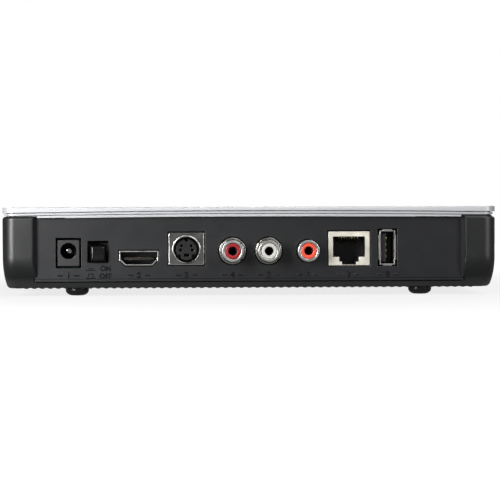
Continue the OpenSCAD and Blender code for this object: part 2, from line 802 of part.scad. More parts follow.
module rear_panel() color("#34353a") {
    y0 = panel_y - panel_t - cut;
    y1 = panel_y + cut;
    difference() {
        panel_plate();
        slab(dc_x, dc_w + 2 * dc_gap, y0, y1, board_z + dc_rise - dc_h / 2 - 1.2 * dc_gap,
             board_z + dc_rise + dc_h / 2 + 1.2 * dc_gap);
        slab(switch_x, switch_w, y0, y1, board_z + switch_rise - switch_h / 2,
             board_z + switch_rise + switch_h / 2);
        translate([hdmi_x, 0, board_z + hdmi_rise])
            along_y(y0, y1)
                polygon(hdmi_outline(port_gap));
        slab(svideo_x, svideo_w + 2 * port_gap, y0, y1, board_z + svideo_rise - svideo_h / 2 - port_gap,
             board_z + svideo_rise + svideo_h / 2 + port_gap);
        for (x = [red_x, white_x])
            rod_y(collar_d + 2 * collar_gap, x, board_z + audio_rise, y0, y1);
        rod_y(barrel_d + 2 * collar_gap, coax_x, board_z + audio_rise, y0, y1);
        slab(lan_x, lan_w + 2 * port_gap, y0, y1, board_z + lan_rise - lan_h / 2 - port_gap,
             board_z + lan_rise + lan_h / 2 + port_gap);
        slab(usb_x, usb_in_w + 2 * (sheet_t + usb_lip + port_gap), y0, y1,
             board_z + usb_rise - usb_in_h / 2 - sheet_t - usb_lip - port_gap / 2,
             board_z + usb_rise + usb_in_h / 2 + sheet_t + usb_lip + port_gap / 2);
    }
}

module front_fascia() color("#1b1c1f") {
    y0 = -panel_y - cut;
    y1 = -panel_y + panel_t + cut;
    difference() {
        union() {
            mirror([0, 1, 0])
                panel_plate();
            for (x = front_screw_xs())
                rod_y(post_d, x, front_hole_z, -panel_y + panel_t - eps, front_y);
        }
        slab(tray_x, bezel_w + 2 * bezel_gap, y0, y1, tray_z - bezel_gap, tray_z + bezel_h + bezel_gap);
        slab(ir_x, ir_w, y0, y1, window_z - ir_h / 2, window_z + ir_h / 2);
        for (i = [0, 1])
            rod_y(pipe_d, pipe_x + i * pipe_pitch, window_z, y0, y1);
        for (x = front_screw_xs())
            rod_y(screw_d + 2 * screw_gap, x, front_hole_z, -panel_y + panel_t / 2, front_y + cut);
    }
}

// Places of the front board's screws in X
function front_screw_xs() = [front_x - front_w / 2 + front_screw_in, front_x + front_w / 2 - front_screw_in];

// Dark window that lets infrared light through, with a flange behind the fascia
module ir_window() color("#3a0f12") {
    flange = 1.2;
    slab(ir_x, ir_w - 2 * window_gap, -panel_y, -panel_y + panel_t + eps,
         window_z - ir_h / 2 + window_gap, window_z + ir_h / 2 - window_gap);
    slab(ir_x, ir_w + 2 * flange, -panel_y + panel_t, -panel_y + panel_t + flange,
         window_z - ir_h / 2 - flange, window_z + ir_h / 2 + flange);
}

// Clear light pipe: two round ends joined by a bar behind the fascia
module light_pipe() color("#dfe7ea") {
    bar = 1.2;
    for (i = [0, 1])
        rod_y(pipe_d - 2 * window_gap, pipe_x + i * pipe_pitch, window_z, -panel_y,
              -panel_y + panel_t + bar);
    slab(pipe_x + pipe_pitch / 2, pipe_pitch + pipe_d + 2 * bar, -panel_y + panel_t,
         -panel_y + panel_t + bar, window_z - pipe_d / 2 - bar, window_z + pipe_d / 2 + bar);
}

// ---- Boards ----

module main_board() color("#1f5a3a") {
    difference() {
        slab(0, board_w, board_y0, board_y1, board_z - board_t, board_z);
        for (p = board_posts())
            translate([p[0], p[1], 0])
                cylinder(d = screw_d + 2 * hole_gap, h = rim_z);
    }
    // The cable connector at the front edge
    slab(front_x, cable_plug_w, board_y0 + cable_plug_in, board_y0 + 3 * cable_plug_in, board_z - eps,
         board_z + 2.4);
}

module board_screws() color("#b9bcc0") {
    for (p = board_posts())
        translate([p[0], p[1], board_z])
            screw(screw_l);
    for (x = front_screw_xs())
        translate([x, front_y + board_t, front_hole_z])
            rotate([-90, 0, 0])
                screw(screw_l);
}

module main_chip() color("#202124") {
    translate([chip_x, chip_y, board_z])
        linear_extrude(height = chip_t)
            polygon(round_rect(chip_w, chip_w, 0.8, 2));
}

// Aluminium heat sink that sits on the main chip
module heat_sink() color("#aab0b6") {
    base_t = 2;
    fin_n = 9;
    fin_t = 1;
    fin_h = 7;
    z0 = board_z + chip_t;
    fin_pitch = (chip_w - fin_t) / (fin_n - 1);
    slab(chip_x, chip_w, chip_y - chip_w / 2, chip_y + chip_w / 2, z0, z0 + base_t);
    for (i = [0:fin_n - 1])
        slab(chip_x - chip_w / 2 + fin_t / 2 + i * fin_pitch, fin_t, chip_y - chip_w / 2,
             chip_y + chip_w / 2, z0 + base_t - eps, z0 + base_t + fin_h);
}

module memory_chips() color("#25272a") {
    memory_w = 11;
    memory_l = 14;
    memory_t = 1.1;
    gap = 3;
    first = (chip_w + memory_w) / 2 + gap;
    for (dx = [-first, first, first + memory_w + gap])
        slab(chip_x + dx, memory_w, chip_y - memory_l, chip_y, board_z, board_z + memory_t);
}

// Electrolytic capacitors in front of the audio sockets
module capacitors() color("#3b4a8c") {
    can_d = 6.3;
    can_h = 7.7;
    can_gap = 2.7;
    y = panel_y - panel_t - audio_gap - audio_d - can_gap - can_d / 2;
    for (i = [0:2])
        translate([white_x + can_gap - i * (can_d + can_gap), y, board_z])
            cylinder(d = can_d, h = can_h);
}

module front_board() color("#1f5a3a") {
    difference() {
        slab(front_x, front_w, front_y, front_y + board_t, front_z, front_z + front_board_h);
        for (x = front_screw_xs())
            rod_y(screw_d + 2 * hole_gap, x, front_hole_z, front_y - cut, front_y + board_t + cut);
    }
    // The cable connector on its rear face
    slab(front_x, cable_plug_w, front_y + board_t - eps, front_y + board_t + cable_plug_in, board_z - 1,
         board_z + 3);
}

module ir_receiver() color("#17181a") {
    slab(ir_x, 6, front_y - 2.6, front_y, window_z - 3, window_z + 3);
}

module status_lights() color("#f4f6f8") {
    for (i = [0, 1])
        slab(pipe_x + i * pipe_pitch, 3, front_y - 2.4, front_y, window_z - 1, window_z + 1);
}

// Flat cable from the front board to the main board, in a shallow sag
module ribbon_cable() color("#e6e2d6") {
    ribbon_t = 0.3;
    sag = 2;
    y0 = front_y + board_t + cable_plug_in;
    y1 = board_y0 + cable_plug_in;
    z = board_z + 1.2;
    lower = [for (i = [0:16]) let (t = i / 16) [y0 + (y1 - y0) * t, z - 4 * sag * t * (1 - t)]];
    along_x(front_x - ribbon_w / 2, front_x + ribbon_w / 2)
        polygon(concat(lower, [for (i = [16:-1:0]) lower[i] + [0, ribbon_t]]));
}

// ---- Power socket and switch ----

module dc_jack_body() color("#18191b") {
    z = board_z + dc_rise;
    hole_z = z + dc_hole_rise;
    difference() {
        union() {
            slab(dc_x, dc_w, panel_y - dc_d, panel_y, z - dc_h / 2, z + dc_h / 2);
            slab(dc_x, dc_w + 0.4, panel_y - dc_d, panel_y - panel_t - dc_gap, board_z, z + dc_h / 2);
        }
        rod_y(dc_hole_d, dc_x, hole_z, panel_y - dc_d + 3, panel_y + cut);
        rod_y(dc_pin_d, dc_x, hole_z, panel_y - dc_d - cut, panel_y);
    }
}

module dc_jack_pin() color("#c9ccd0") {
    hole_z = board_z + dc_rise + dc_hole_rise;
    rod_y(dc_pin_d, dc_x, hole_z, panel_y - dc_d, panel_y - dc_pin_in);
}

// Places along Y of the switch: the body's front, the button's back and its face
function button_face() = panel_y + button_out;
function button_back() = panel_y - panel_t + button_catch;
function switch_front() = button_back() - button_travel - spring_l;

module switch_body() color("#2a2b2e") {
    z = board_z + switch_rise - button_drop;
    difference() {
        slab(switch_x, switch_w + 0.4, switch_front() - switch_d, switch_front(), board_z,
             z + switch_h / 2 - 0.2);
        rod_y(plunger_d + 0.2, switch_x, z, switch_front() - switch_d + 1, switch_front() + cut);
    }
}

module power_button() color("#101113") {
    z = board_z + switch_rise - button_drop;
    w2 = button_w / 2;
    h2 = button_h / 2;
    y0 = button_back();
    y1 = button_face();
    translate([switch_x, 0, z])
        intersection() {
            along_x(-w2, w2)
                polygon([[y0, -h2], [y0 + 2, -h2], [y1, -h2 + button_draft], [y1, h2 - button_draft],
                         [y0 + 2, h2], [y0, h2]]);
            linear_extrude(height = button_h, center = true)
                polygon([[-w2, y0], [w2, y0], [w2, y0 + 2], [w2 - button_draft, y1],
                         [-w2 + button_draft, y1], [-w2, y0 + 2]]);
        }
    rod_y(plunger_d, switch_x, z, switch_front() - switch_d + 1.5 + button_travel, y0 + eps);
}

module switch_spring() color("#c2c5c9") {
    wire = 0.35;
    translate([switch_x, switch_front() + 0.1, board_z + switch_rise - button_drop])
        rotate([-90, 0, 0])
            coil_spring(plunger_d + 1.2, wire, button_back() - switch_front() - 0.2, 4);
}

// ---- HDMI socket ----

// Outline of the HDMI shell in X and Z, grown by g: slanted lower corners with a small step
function hdmi_outline(g) =
    let (w = hdmi_w / 2 + g, top = hdmi_h / 2 + g, step_z = -1 - g / 2, low_w = 5.2 + g / 2)
    both_sides([[low_w, -top], [w - 0.65, step_z - 0.1], [w, step_z], [w, top]]);

module hdmi_shell() color("#b4b6b8") {
    back_y = panel_y - hdmi_d;
    translate([hdmi_x, 0, board_z + hdmi_rise])
        difference() {
            along_y(back_y, panel_y)
                polygon(hdmi_outline(0));
            along_y(back_y + sheet_t, panel_y + cut)
                polygon(hdmi_outline(-sheet_t));
        }
    // Solder tabs that stand on the board
    for (s = [-1, 1])
        slab(hdmi_x + s * (hdmi_w / 2 - sheet_t), 2 * sheet_t, back_y + 2, back_y + 5,
             board_z, board_z + hdmi_rise);
}

module hdmi_insert() color("#141416") {
    tongue_w = 11.4;
    z = board_z + hdmi_rise;
    back_y = panel_y - hdmi_d + sheet_t;
    slab(hdmi_x, tongue_w, back_y, panel_y - 1.8, z - 0.75, z + 0.25);
    translate([hdmi_x, 0, z])
        along_y(back_y, back_y + 1.5)
            polygon(hdmi_outline(-sheet_t - 0.05));
}

// ---- S-video socket ----

// Height of the round mouth's centre, a little below the shield's centre
function svideo_mouth_z() = board_z + svideo_rise - 0.35;

module svideo_shield() color("#8f9296") {
    back_y = panel_y - svideo_d;
    z = board_z + svideo_rise;
    difference() {
        slab(svideo_x, svideo_w, back_y, panel_y, z - svideo_h / 2, z + svideo_h / 2);
        slab(svideo_x, svideo_w - 2 * sheet_t, back_y - cut, panel_y - sheet_t,
             z - svideo_h / 2 - cut, z + svideo_h / 2 - sheet_t);
        rod_y(svideo_mouth_d, svideo_x, svideo_mouth_z(), back_y, panel_y + cut);
    }
    tube_y(svideo_ring_d, svideo_mouth_d, svideo_x, svideo_mouth_z(), panel_y - sheet_t, panel_y + sheet_t);
}

module svideo_insert() color("#2b2c30") {
    back_y = panel_y - svideo_d;
    z = board_z + svideo_rise;
    mouth_z = svideo_mouth_z();
    inner = sheet_t + 0.05;
    difference() {
        union() {
            rod_y(svideo_insert_d, svideo_x, mouth_z, back_y + 2, panel_y - 0.8);
            slab(svideo_x, svideo_w - 2 * inner, back_y, back_y + 5, board_z, z + svideo_h / 2 - inner);
        }
        for (p = [[-1.9, 1.5], [1.9, 1.5], [-2.3, -0.2], [2.3, -0.2]])
            rod_y(1.1, svideo_x + p[0], mouth_z + p[1], back_y + 3, panel_y);
        slab(svideo_x, 2.15, back_y + 3, panel_y, mouth_z - 2.7, mouth_z - 1.6);
        slab(svideo_x, 1.4, back_y + 5, panel_y, mouth_z + 3.1, mouth_z + 5);
        for (s = [-1, 1])
            slab(svideo_x + 2.8 * s, 1.3, back_y + 5, panel_y, mouth_z - 5, mouth_z - 1.9);
    }
}

// ---- Audio sockets ----

// The plastic block that audio barrels stand on, for sockets from x0 to x1
module socket_block(x0, x1) {
    y1 = panel_y - panel_t - audio_gap;
    difference() {
        translate([x0 - audio_w / 2, y1 - audio_d, board_z])
            cube([x1 - x0 + audio_w, audio_d, audio_rise + audio_w / 2 - 0.5]);
        for (x = [x0, x1])
            rod_y(barrel_d - neck_step + 2 * screw_gap, x, board_z + audio_rise,
                  y1 - audio_d + barrel_seat, y1 + cut);
    }
}

// A plated barrel, open at its mouth, on a slightly thinner neck
module barrel(x) {
    y1 = panel_y - panel_t - audio_gap;
    z = board_z + audio_rise;
    step_y = panel_y + collar_out;
    tube_y(barrel_d - neck_step, barrel_d - 2 * barrel_t, x, z, y1 - audio_d + barrel_seat, step_y + eps);
    tube_y(barrel_d, barrel_d - 2 * barrel_t, x, z, step_y, panel_y + barrel_out);
}

// A barrel with the slotted collar that grounds it against the panel
module collared_barrel(x) {
    y1 = panel_y - panel_t - audio_gap;
    z = board_z + audio_rise;
    barrel(x);
    tube_y(collar_d, barrel_d - barrel_t - neck_step / 2, x, z, y1, y1 + collar_t);
    difference() {
        tube_y(collar_d, collar_d - 2 * collar_t, x, z, y1, panel_y + collar_out);
        translate([x, panel_y + 1, z])
            rotate([0, 45, 0])
                cube([collar_slot, 2 * (collar_out + 1 + panel_t / 2), collar_d + 2], center = true);
    }
}

// The coloured insert that fills a barrel round its plug hole
module barrel_insert(x) {
    y0 = panel_y - panel_t - audio_gap - audio_d + barrel_seat;
    tube_y(barrel_d - 2 * barrel_t - 2 * screw_gap, pin_hole_d, x, board_z + audio_rise, y0,
           panel_y + barrel_out - insert_in);
}

module audio_block() color("#1a1b1d") socket_block(white_x, red_x);
module coax_block() color("#1a1b1d") socket_block(coax_x, coax_x);
module red_barrel() color("#d7d8d6") collared_barrel(red_x);
module white_barrel() color("#d7d8d6") collared_barrel(white_x);
module coax_barrel() color("#d7d8d6") barrel(coax_x);
module red_insert() color("#c33a3e") barrel_insert(red_x);
module white_insert() color("#f3f2ee") barrel_insert(white_x);
module coax_insert() color("#f2684a") barrel_insert(coax_x);

// ---- Network and USB sockets ----

// Outline of the network socket's mouth in X and Z, about the socket's centre, grown by g
function lan_mouth(g) =
    let (top = lan_h / 2 - lan_mouth_in, shelf = top - lan_mouth_h)
    both_sides([[2.6 + g, shelf - 3 - g], [2.6 + g, shelf - 1.85 - g], [3.7 + g, shelf - 1.85 - g],
                [3.7 + g, shelf - g], [lan_mouth_w / 2 + g, shelf - g], [lan_mouth_w / 2 + g, top + g]]);

module lan_shield() color("#b8b4a8") {
    z = board_z + lan_rise;
    back_y = panel_y - lan_d;
    difference() {
        slab(lan_x, lan_w, back_y, panel_y, z - lan_h / 2, z + lan_h / 2);
        slab(lan_x, lan_w - 2 * sheet_t, back_y + sheet_t, panel_y - sheet_t, z - lan_h / 2 - cut,
             z + lan_h / 2 - sheet_t);
        translate([lan_x, 0, z])
            along_y(panel_y - 2, panel_y + cut)
                polygon(lan_mouth(0.15));
    }
}

module lan_insert() color("#1b1b1d") {
    z = board_z + lan_rise;
    inner = sheet_t + 0.05;
    difference() {
        union() {
            slab(lan_x, lan_w - 2 * inner, panel_y - lan_d + inner, panel_y - inner,
                 z - lan_h / 2 + inner, z + lan_h / 2 - inner);
            slab(lan_x, lan_w - 2 * inner, panel_y - lan_d + inner, panel_y - panel_t - audio_gap, board_z,
                 z);
        }
        translate([lan_x, 0, z])
            along_y(panel_y - lan_mouth_d, panel_y)
                polygon(lan_mouth(0));
    }
}

// Eight gold wires that slope from the mouth's roof to its back
module lan_contacts() color("#d8b45a") {
    wire = 0.4;
    pitch = 1.02;
    top = board_z + lan_rise + lan_h / 2 - lan_mouth_in;
    back_y = panel_y - lan_mouth_d;
    for (i = [-3.5:3.5])
        along_x(lan_x + i * pitch - wire / 2, lan_x + i * pitch + wire / 2)
            polygon([[back_y, top - 2.6], [back_y + 7.5, top - 0.2 - wire], [back_y + 9, top - 0.2 - wire],
                     [back_y + 9, top - 0.1], [back_y + 7.3, top - 0.1], [back_y, top - 2.6 + wire * 1.2]]);
}

module usb_shell() color("#c6c8ca") {
    z = board_z + usb_rise;
    back_y = panel_y - usb_d;
    outer_w = usb_in_w + 2 * sheet_t;
    outer_h = usb_in_h + 2 * sheet_t;
    difference() {
        slab(usb_x, outer_w, back_y, panel_y, z - outer_h / 2, z + outer_h / 2);
        slab(usb_x, usb_in_w, back_y + sheet_t, panel_y + cut, z - usb_in_h / 2, z + usb_in_h / 2);
    }
    // Flared lips on all four sides of the mouth
    lip_y = panel_y - 1.2;
    intersection() {
        translate([usb_x, 0, 0])
            linear_extrude(height = rim_z)
                polygon(concat(lip_outline(usb_in_w / 2, lip_y, 1), lip_outline(usb_in_w / 2, lip_y, -1)));
        union()
            for (s = [-1, 1])
                slab(usb_x + s * outer_w / 2, 2 * (usb_lip + sheet_t), lip_y, panel_y,
                     z - usb_in_h / 2 + 1.5, z + usb_in_h / 2 - 1.5);
    }
    for (s = [-1, 1])
        translate([usb_x, 0, z])
            mirror([0, 0, s < 0 ? 1 : 0])
                along_x(-usb_in_w / 2 + 0.8, usb_in_w / 2 - 0.8)
                    polygon([[lip_y, usb_in_h / 2], [lip_y, usb_in_h / 2 + sheet_t],
                             [panel_y, usb_in_h / 2 + sheet_t + usb_lip],
                             [panel_y, usb_in_h / 2 + usb_lip]]);
}

// Outline of one side lip in X and Y, on the side s
function lip_outline(x, y, s) =
    let (pts = [[x, y], [x + usb_lip, panel_y], [x + usb_lip + sheet_t, panel_y], [x + sheet_t, y]])
    [for (i = [0:3]) let (p = pts[s > 0 ? 3 - i : i]) [s * p[0], p[1]]];

// Place in X of the tongue's face that carries the contacts
function usb_face_x() = usb_x + usb_in_w / 2 - 0.3 - usb_tongue_w;

module usb_insert() color("#1c1c1f") {
    z = board_z + usb_rise;
    back_y = panel_y - usb_d + sheet_t;
    tongue_h = usb_in_h - 1.4;
    slab(usb_face_x() + usb_tongue_w / 2, usb_tongue_w, back_y, panel_y - 1.5, z - tongue_h / 2,
         z + tongue_h / 2);
    slab(usb_x, usb_in_w - 0.1, back_y, back_y + 4, z - usb_in_h / 2 + 0.05, z + usb_in_h / 2 - 0.05);
}

module usb_contacts() color("#d8b45a") {
    z = board_z + usb_rise;
    contact_t = 0.3;
    contact_w = 1;
    for (dz = [-3.5, -1.2, 1.2, 3.5])
        slab(usb_face_x() - contact_t / 2, contact_t, panel_y - usb_d + sheet_t + 4, panel_y - 2.2,
             z + dz - contact_w / 2, z + dz + contact_w / 2);
}

// ---- Hard drive, its tray and its cage ----

module drive_cage() color("#a7abb0") {
    x0 = tray_x - cage_w / 2;
    x1 = tray_x + cage_w / 2;
    top = cage_z + cage_h;
    difference() {
        union() {
            along_y(cage_y0, drive_y1)
                polygon([[x0, cage_z], [x1, cage_z], [x1, top], [x1 - cage_return, top],
                         [x1 - cage_return, top - cage_t], [x1 - cage_t, top - cage_t],
                         [x1 - cage_t, cage_z + cage_t], [x0 + cage_t, cage_z + cage_t],
                         [x0 + cage_t, top - cage_t], [x0 + cage_return, top - cage_t],
                         [x0 + cage_return, top], [x0, top]]);
            for (y = cage_screw_ys)
                slab(tray_x, cage_w + 2 * tab_l, y - tab_l / 2, y + tab_l / 2, cage_z, cage_z + cage_t);
        }
        for (y = cage_screw_ys, x = [cage_hole, cage_hole_2])
            translate([x, y, cage_z - cut])
                cylinder(d = screw_d + 2 * hole_gap, h = 3 * cage_t);
        // Openings in the cage's floor that let air reach the drive
        for (i = [-2:2])
            translate([tray_x + i * 13, (cage_y0 + board_y0) / 2, cage_z - cut])
                linear_extrude(height = 3 * cage_t)
                    polygon(round_rect(8, board_y0 - cage_y0 - 4 * tab_l, 3, 4));
    }
}

module cage_screws() color("#b9bcc0") {
    for (y = cage_screw_ys, x = [cage_hole, cage_hole_2])
        translate([x, y, cage_z + cage_t])
            screw(screw_l);
}

module dock_board() color("#1f5a3a") {
    slab(tray_x, dock_w, dock_y, dock_y + board_t, board_z, tray_z + tray_h);
}

// Connector that the drive slides onto
module drive_socket() color("#151618") {
    z = drive_z + drive_board_t + 1.5;
    slab(tray_x, plug_w + 3, dock_y - dock_body, dock_y, z - 2, z + 4);
    slab(tray_x, plug_w, dock_y - dock_body - dock_gap - plug_in + 0.5, dock_y, z, z + 2);
}

// Plastic sled that carries the drive
module drive_tray() color("#303236") {
    y0 = bezel_y1;
    side_z = tray_z + tray_h;
    difference() {
        slab(tray_x, tray_w, y0, drive_y1 - 2, tray_z, side_z);
        slab(tray_x, tray_w - 2 * tray_wall, y0 + tray_front, drive_y1, drive_z, side_z + cut);
        // Openings in the floor, which cool the drive
        for (i = [-1:1])
            translate([tray_x + i * floor_slot_pitch, (drive_y0 + drive_y1) / 2, tray_z - cut])
                linear_extrude(height = tray_floor + 2 * cut)
                    polygon(round_rect(floor_slot_w, drive_l - 36, 4));
        // Holes for the drive's side screws
        for (y = drive_screw_ys())
            translate([tray_x, y, drive_z + 3])
                rotate([0, 90, 0])
                    cylinder(d = screw_d + 2 * hole_gap, h = tray_w + cut, center = true);
        // Seat of the release button's spring
        rod_y(latch_w - 1.5, latch_x, lever_z, y0 - cut, y0 + latch_pocket);
        // Holes for the bezel's screws
        for (x = bezel_screw_xs())
            rod_y(bezel_screw_d + 2 * hole_gap, x, tray_z + tray_h / 2, y0 - cut, y0 + tray_front + cut);
    }
}

function drive_screw_ys() = [drive_y0 + 14, drive_y1 - 10];
function bezel_screw_xs() = [tray_x - tray_w / 2 + bezel_screw_in, tray_x + tray_w / 2 - bezel_screw_in];

module tray_bezel() color("#17181b") {
    knuckle_r = lever_t / 2;
    pocket_x0 = lever_x - knuckle_r - lever_gap;
    pocket_x1 = lever_x + lever_l + lever_gap;
    pocket_y = lever_y + knuckle_r + lever_gap;
    step_y = bezel_y0 + latch_head_t;
    flange_w = latch_w + 2 * latch_flange;
    difference() {
        translate([tray_x, 0, lever_z])
            along_y(bezel_y0, bezel_y1)
                polygon(round_rect(bezel_w, bezel_h, 1, 4));
        // Pocket of the lever, with a deeper hollow for a finger tip at its free end
        slab((pocket_x0 + pocket_x1) / 2, pocket_x1 - pocket_x0, bezel_y0 - cut, pocket_y,
             lever_z - lever_h / 2 - lever_gap, lever_z + lever_h / 2 + lever_gap);
        slab(pocket_x1 - 5, 9, bezel_y0 - cut, bezel_y1 - 1, lever_z - lever_h / 2 - lever_gap,
             lever_z + lever_h / 2 + lever_gap);
        // Hole of the lever's pin
        translate([lever_x, lever_y, tray_z + 1])
            cylinder(d = lever_pin_d, h = bezel_h - 2);
        // Opening of the release button and the space of its flange
        slab(latch_x, latch_w + 2 * latch_gap, bezel_y0 - cut, bezel_y1 + cut,
             lever_z - latch_w / 2 - latch_gap, lever_z + latch_w / 2 + latch_gap);
        slab(latch_x, flange_w + 2 * latch_gap, step_y, bezel_y1 + cut,
             lever_z - flange_w / 2 - latch_gap, lever_z + flange_w / 2 + latch_gap);
        for (x = bezel_screw_xs())
            rod_y(bezel_screw_d, x, tray_z + tray_h / 2, bezel_y1 - bezel_screw_l, bezel_y1 + cut);
    }
}

module bezel_screws() color("#b9bcc0") {
    head_y = bezel_y1 + tray_front;
    for (x = bezel_screw_xs()) {
        rod_y(bezel_screw_d, x, tray_z + tray_h / 2, bezel_y1 - bezel_screw_l + 0.1, head_y + eps);
        rod_y(2 * bezel_screw_d - 0.2, x, tray_z + tray_h / 2, head_y, head_y + 0.4);
    }
}

// Fold-out lever: a flat bar on an upright pin, with a finger hollow at its free end
module tray_lever() color("#8c9096") {
    r = lever_t / 2;
    difference() {
        translate([lever_x, lever_y, lever_z - lever_h / 2])
            linear_extrude(height = lever_h)
                union() {
                    circle(r = r);
                    translate([0, -r])
                        square([lever_l, lever_t]);
                }
        translate([lever_x, lever_y, lever_z - lever_h])
            cylinder(d = lever_pin_d + 2 * pin_gap, h = 2 * lever_h);
        // Grooves that give a finger hold
        for (i = [0:3])
            slab(lever_x + lever_l - 4 - 2 * i, 0.8, lever_y - r - cut, lever_y - r + 0.4,
                 lever_z - lever_h / 2 - cut, lever_z + lever_h / 2 + cut);
    }
}

module lever_pin() color("#c2c5c9") {
    translate([lever_x, lever_y, tray_z + 1])
        cylinder(d = lever_pin_d, h = bezel_h - 2);
}

module latch_button() color("#b23a33") {
    flange_w = latch_w + 2 * latch_flange;
    step_y = bezel_y0 + latch_head_t;
    slab(latch_x, latch_w, bezel_y0, step_y + latch_flange_t, lever_z - latch_w / 2, lever_z + latch_w / 2);
    slab(latch_x, flange_w, step_y + 0.05, step_y + latch_flange_t, lever_z - flange_w / 2,
         lever_z + flange_w / 2);
}

module latch_spring() color("#c2c5c9") {
    y0 = bezel_y0 + latch_head_t + latch_flange_t + 0.05;
    y1 = bezel_y1 + latch_pocket - 0.05;
    translate([latch_x, y0, lever_z])
        rotate([-90, 0, 0])
            coil_spring(latch_w - 3, 0.3, y1 - y0, 3);
}

// Cast body of the drive, with a notch for the connector and a hollow for the circuit board
module drive_base() color("#9a9da1") {
    z0 = drive_z;
    z1 = drive_z + drive_h - drive_cover_t;
    plug_z = drive_z + drive_board_t + 1.5;
    difference() {
        slab(tray_x, drive_w, drive_y0, drive_y1, z0, z1);
        slab(tray_x, plug_w + 1, drive_y1 - plug_in - 0.3, drive_y1 + cut, plug_z - 0.4, plug_z + 2.4);
        slab(tray_x, drive_w - 6, drive_y0 + 22, drive_y1 - 6, z0 - cut, z0 + drive_board_t + 0.3);
        for (s = [-1, 1], y = drive_screw_ys())
            translate([tray_x + s * drive_w / 2, y, drive_z + 3])
                rotate([0, 90, 0])
                    cylinder(d = screw_d + 2 * screw_gap, h = 6.4, center = true);
    }
}

module drive_cover() color("#c9ccce") {
    z = drive_z + drive_h - drive_cover_t;
    translate([tray_x, (drive_y0 + drive_y1) / 2, z])
        linear_extrude(height = drive_cover_t)
            polygon(round_rect(drive_w - 1, drive_l - 1, 3));
}

module drive_board() color("#22614a") {
    slab(tray_x, drive_w - 7, drive_y0 + 22.5, drive_y1 - 6.5, drive_z + 0.3, drive_z + 0.3 + drive_board_t);
}

// Four screws through the tray's sides into the drive, with flat sunk heads
module drive_screws() color("#b9bcc0") {
    for (s = [-1, 1], y = drive_screw_ys())
        translate([tray_x + s * (drive_w / 2 + drive_gap + tray_wall), y, drive_z + 3])
            rotate([0, -90 * s, 0])
                translate([0, 0, 0.1])
                    cylinder(d = screw_d, h = tray_wall + drive_gap + 2.6);
}

// Puts the case so that the origin is under the middle of the whole part
module place() {
    translate([0, shift_y, 0])
        children();
}

place() lower_housing();
place() top_cover();
place() rear_panel();
place() front_fascia();
place() ir_window();
place() light_pipe();
place() foot(-1, -1);  // foot_front_left
place() foot(1, -1);  // foot_front_right
place() foot(-1, 1);  // foot_rear_left
place() foot(1, 1);  // foot_rear_right
place() case_screws();
place() main_board();
place() board_screws();
place() dc_jack_body();
place() dc_jack_pin();
place() switch_body();
place() power_button();
place() switch_spring();
place() hdmi_shell();
place() hdmi_insert();
place() svideo_shield();
place() svideo_insert();
place() audio_block();
place() red_barrel();
place() red_insert();
place() white_barrel();
place() white_insert();
place() coax_block();
place() coax_barrel();
place() coax_insert();
place() lan_shield();
place() lan_insert();
place() lan_contacts();
place() usb_shell();
place() usb_insert();
place() usb_contacts();
place() main_chip();
place() heat_sink();
place() memory_chips();
place() capacitors();
place() dock_board();
place() drive_socket();
place() drive_cage();
place() cage_screws();
place() front_board();
place() ir_receiver();
place() status_lights();
place() ribbon_cable();
place() drive_tray();
place() tray_bezel();
place() bezel_screws();
place() tray_lever();
place() lever_pin();
place() latch_button();
place() latch_spring();
place() drive_base();
place() drive_cover();
place() drive_board();
place() drive_screws();
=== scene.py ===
import bpy
import bmesh
import math
import numpy as np
from mathutils import Matrix, Vector
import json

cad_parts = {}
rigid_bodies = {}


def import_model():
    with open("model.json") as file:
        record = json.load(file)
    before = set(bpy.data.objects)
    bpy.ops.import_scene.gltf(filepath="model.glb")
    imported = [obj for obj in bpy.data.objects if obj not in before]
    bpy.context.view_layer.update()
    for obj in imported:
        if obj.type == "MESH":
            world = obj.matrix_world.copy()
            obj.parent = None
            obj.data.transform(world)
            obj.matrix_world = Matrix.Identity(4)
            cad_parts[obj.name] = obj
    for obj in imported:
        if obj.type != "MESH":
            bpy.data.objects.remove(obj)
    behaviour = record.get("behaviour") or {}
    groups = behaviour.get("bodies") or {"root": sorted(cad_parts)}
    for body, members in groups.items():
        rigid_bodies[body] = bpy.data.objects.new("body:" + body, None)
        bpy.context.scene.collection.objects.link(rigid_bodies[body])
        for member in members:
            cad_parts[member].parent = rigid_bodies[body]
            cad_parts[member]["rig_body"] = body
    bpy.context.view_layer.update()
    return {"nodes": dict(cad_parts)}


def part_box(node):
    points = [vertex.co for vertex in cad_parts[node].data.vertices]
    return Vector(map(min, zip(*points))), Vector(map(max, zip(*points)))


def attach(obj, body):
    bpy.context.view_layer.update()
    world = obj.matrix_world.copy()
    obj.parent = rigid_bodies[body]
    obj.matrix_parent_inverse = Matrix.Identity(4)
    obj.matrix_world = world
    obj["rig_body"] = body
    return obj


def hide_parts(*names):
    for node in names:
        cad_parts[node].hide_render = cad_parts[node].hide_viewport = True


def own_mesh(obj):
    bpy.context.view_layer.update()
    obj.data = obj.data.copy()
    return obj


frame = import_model()
nodes = frame["nodes"]
MM = 0.001

# ---- Lower housing ----
# The tub of the case, moulded in one shot of black ABS in a mould whose steel was spark-eroded.
# The erosion leaves an even grain of about 0.4 mm, which scatters light into a satin grey. Its
# ribbed base is painted a lighter grey: painted light, standing in for the lit table reflected in
# it.


def linear(code):
    """An sRGB hex colour as linear RGBA: a line near black, and a power of 2.4 above it."""
    part = np.array([int(code[i : i + 2], 16) for i in (0, 2, 4)]) / 255
    value = np.where(part <= 0.04045, part / 12.92, ((part + 0.055) / 1.055) ** 2.4)
    return (*value.tolist(), 1.0)


def add_node(tree, kind, settings=(), values=(), links=()):
    """Adds a node with its settings, its inputs' values, and links from other nodes' outputs."""
    node = tree.nodes.new(kind)
    for key, value in dict(settings).items():
        setattr(node, key, value)
    for key, value in dict(values).items():
        node.inputs[key].default_value = value
    for key, source in dict(links).items():
        tree.links.new(source, node.inputs[key])
    return node


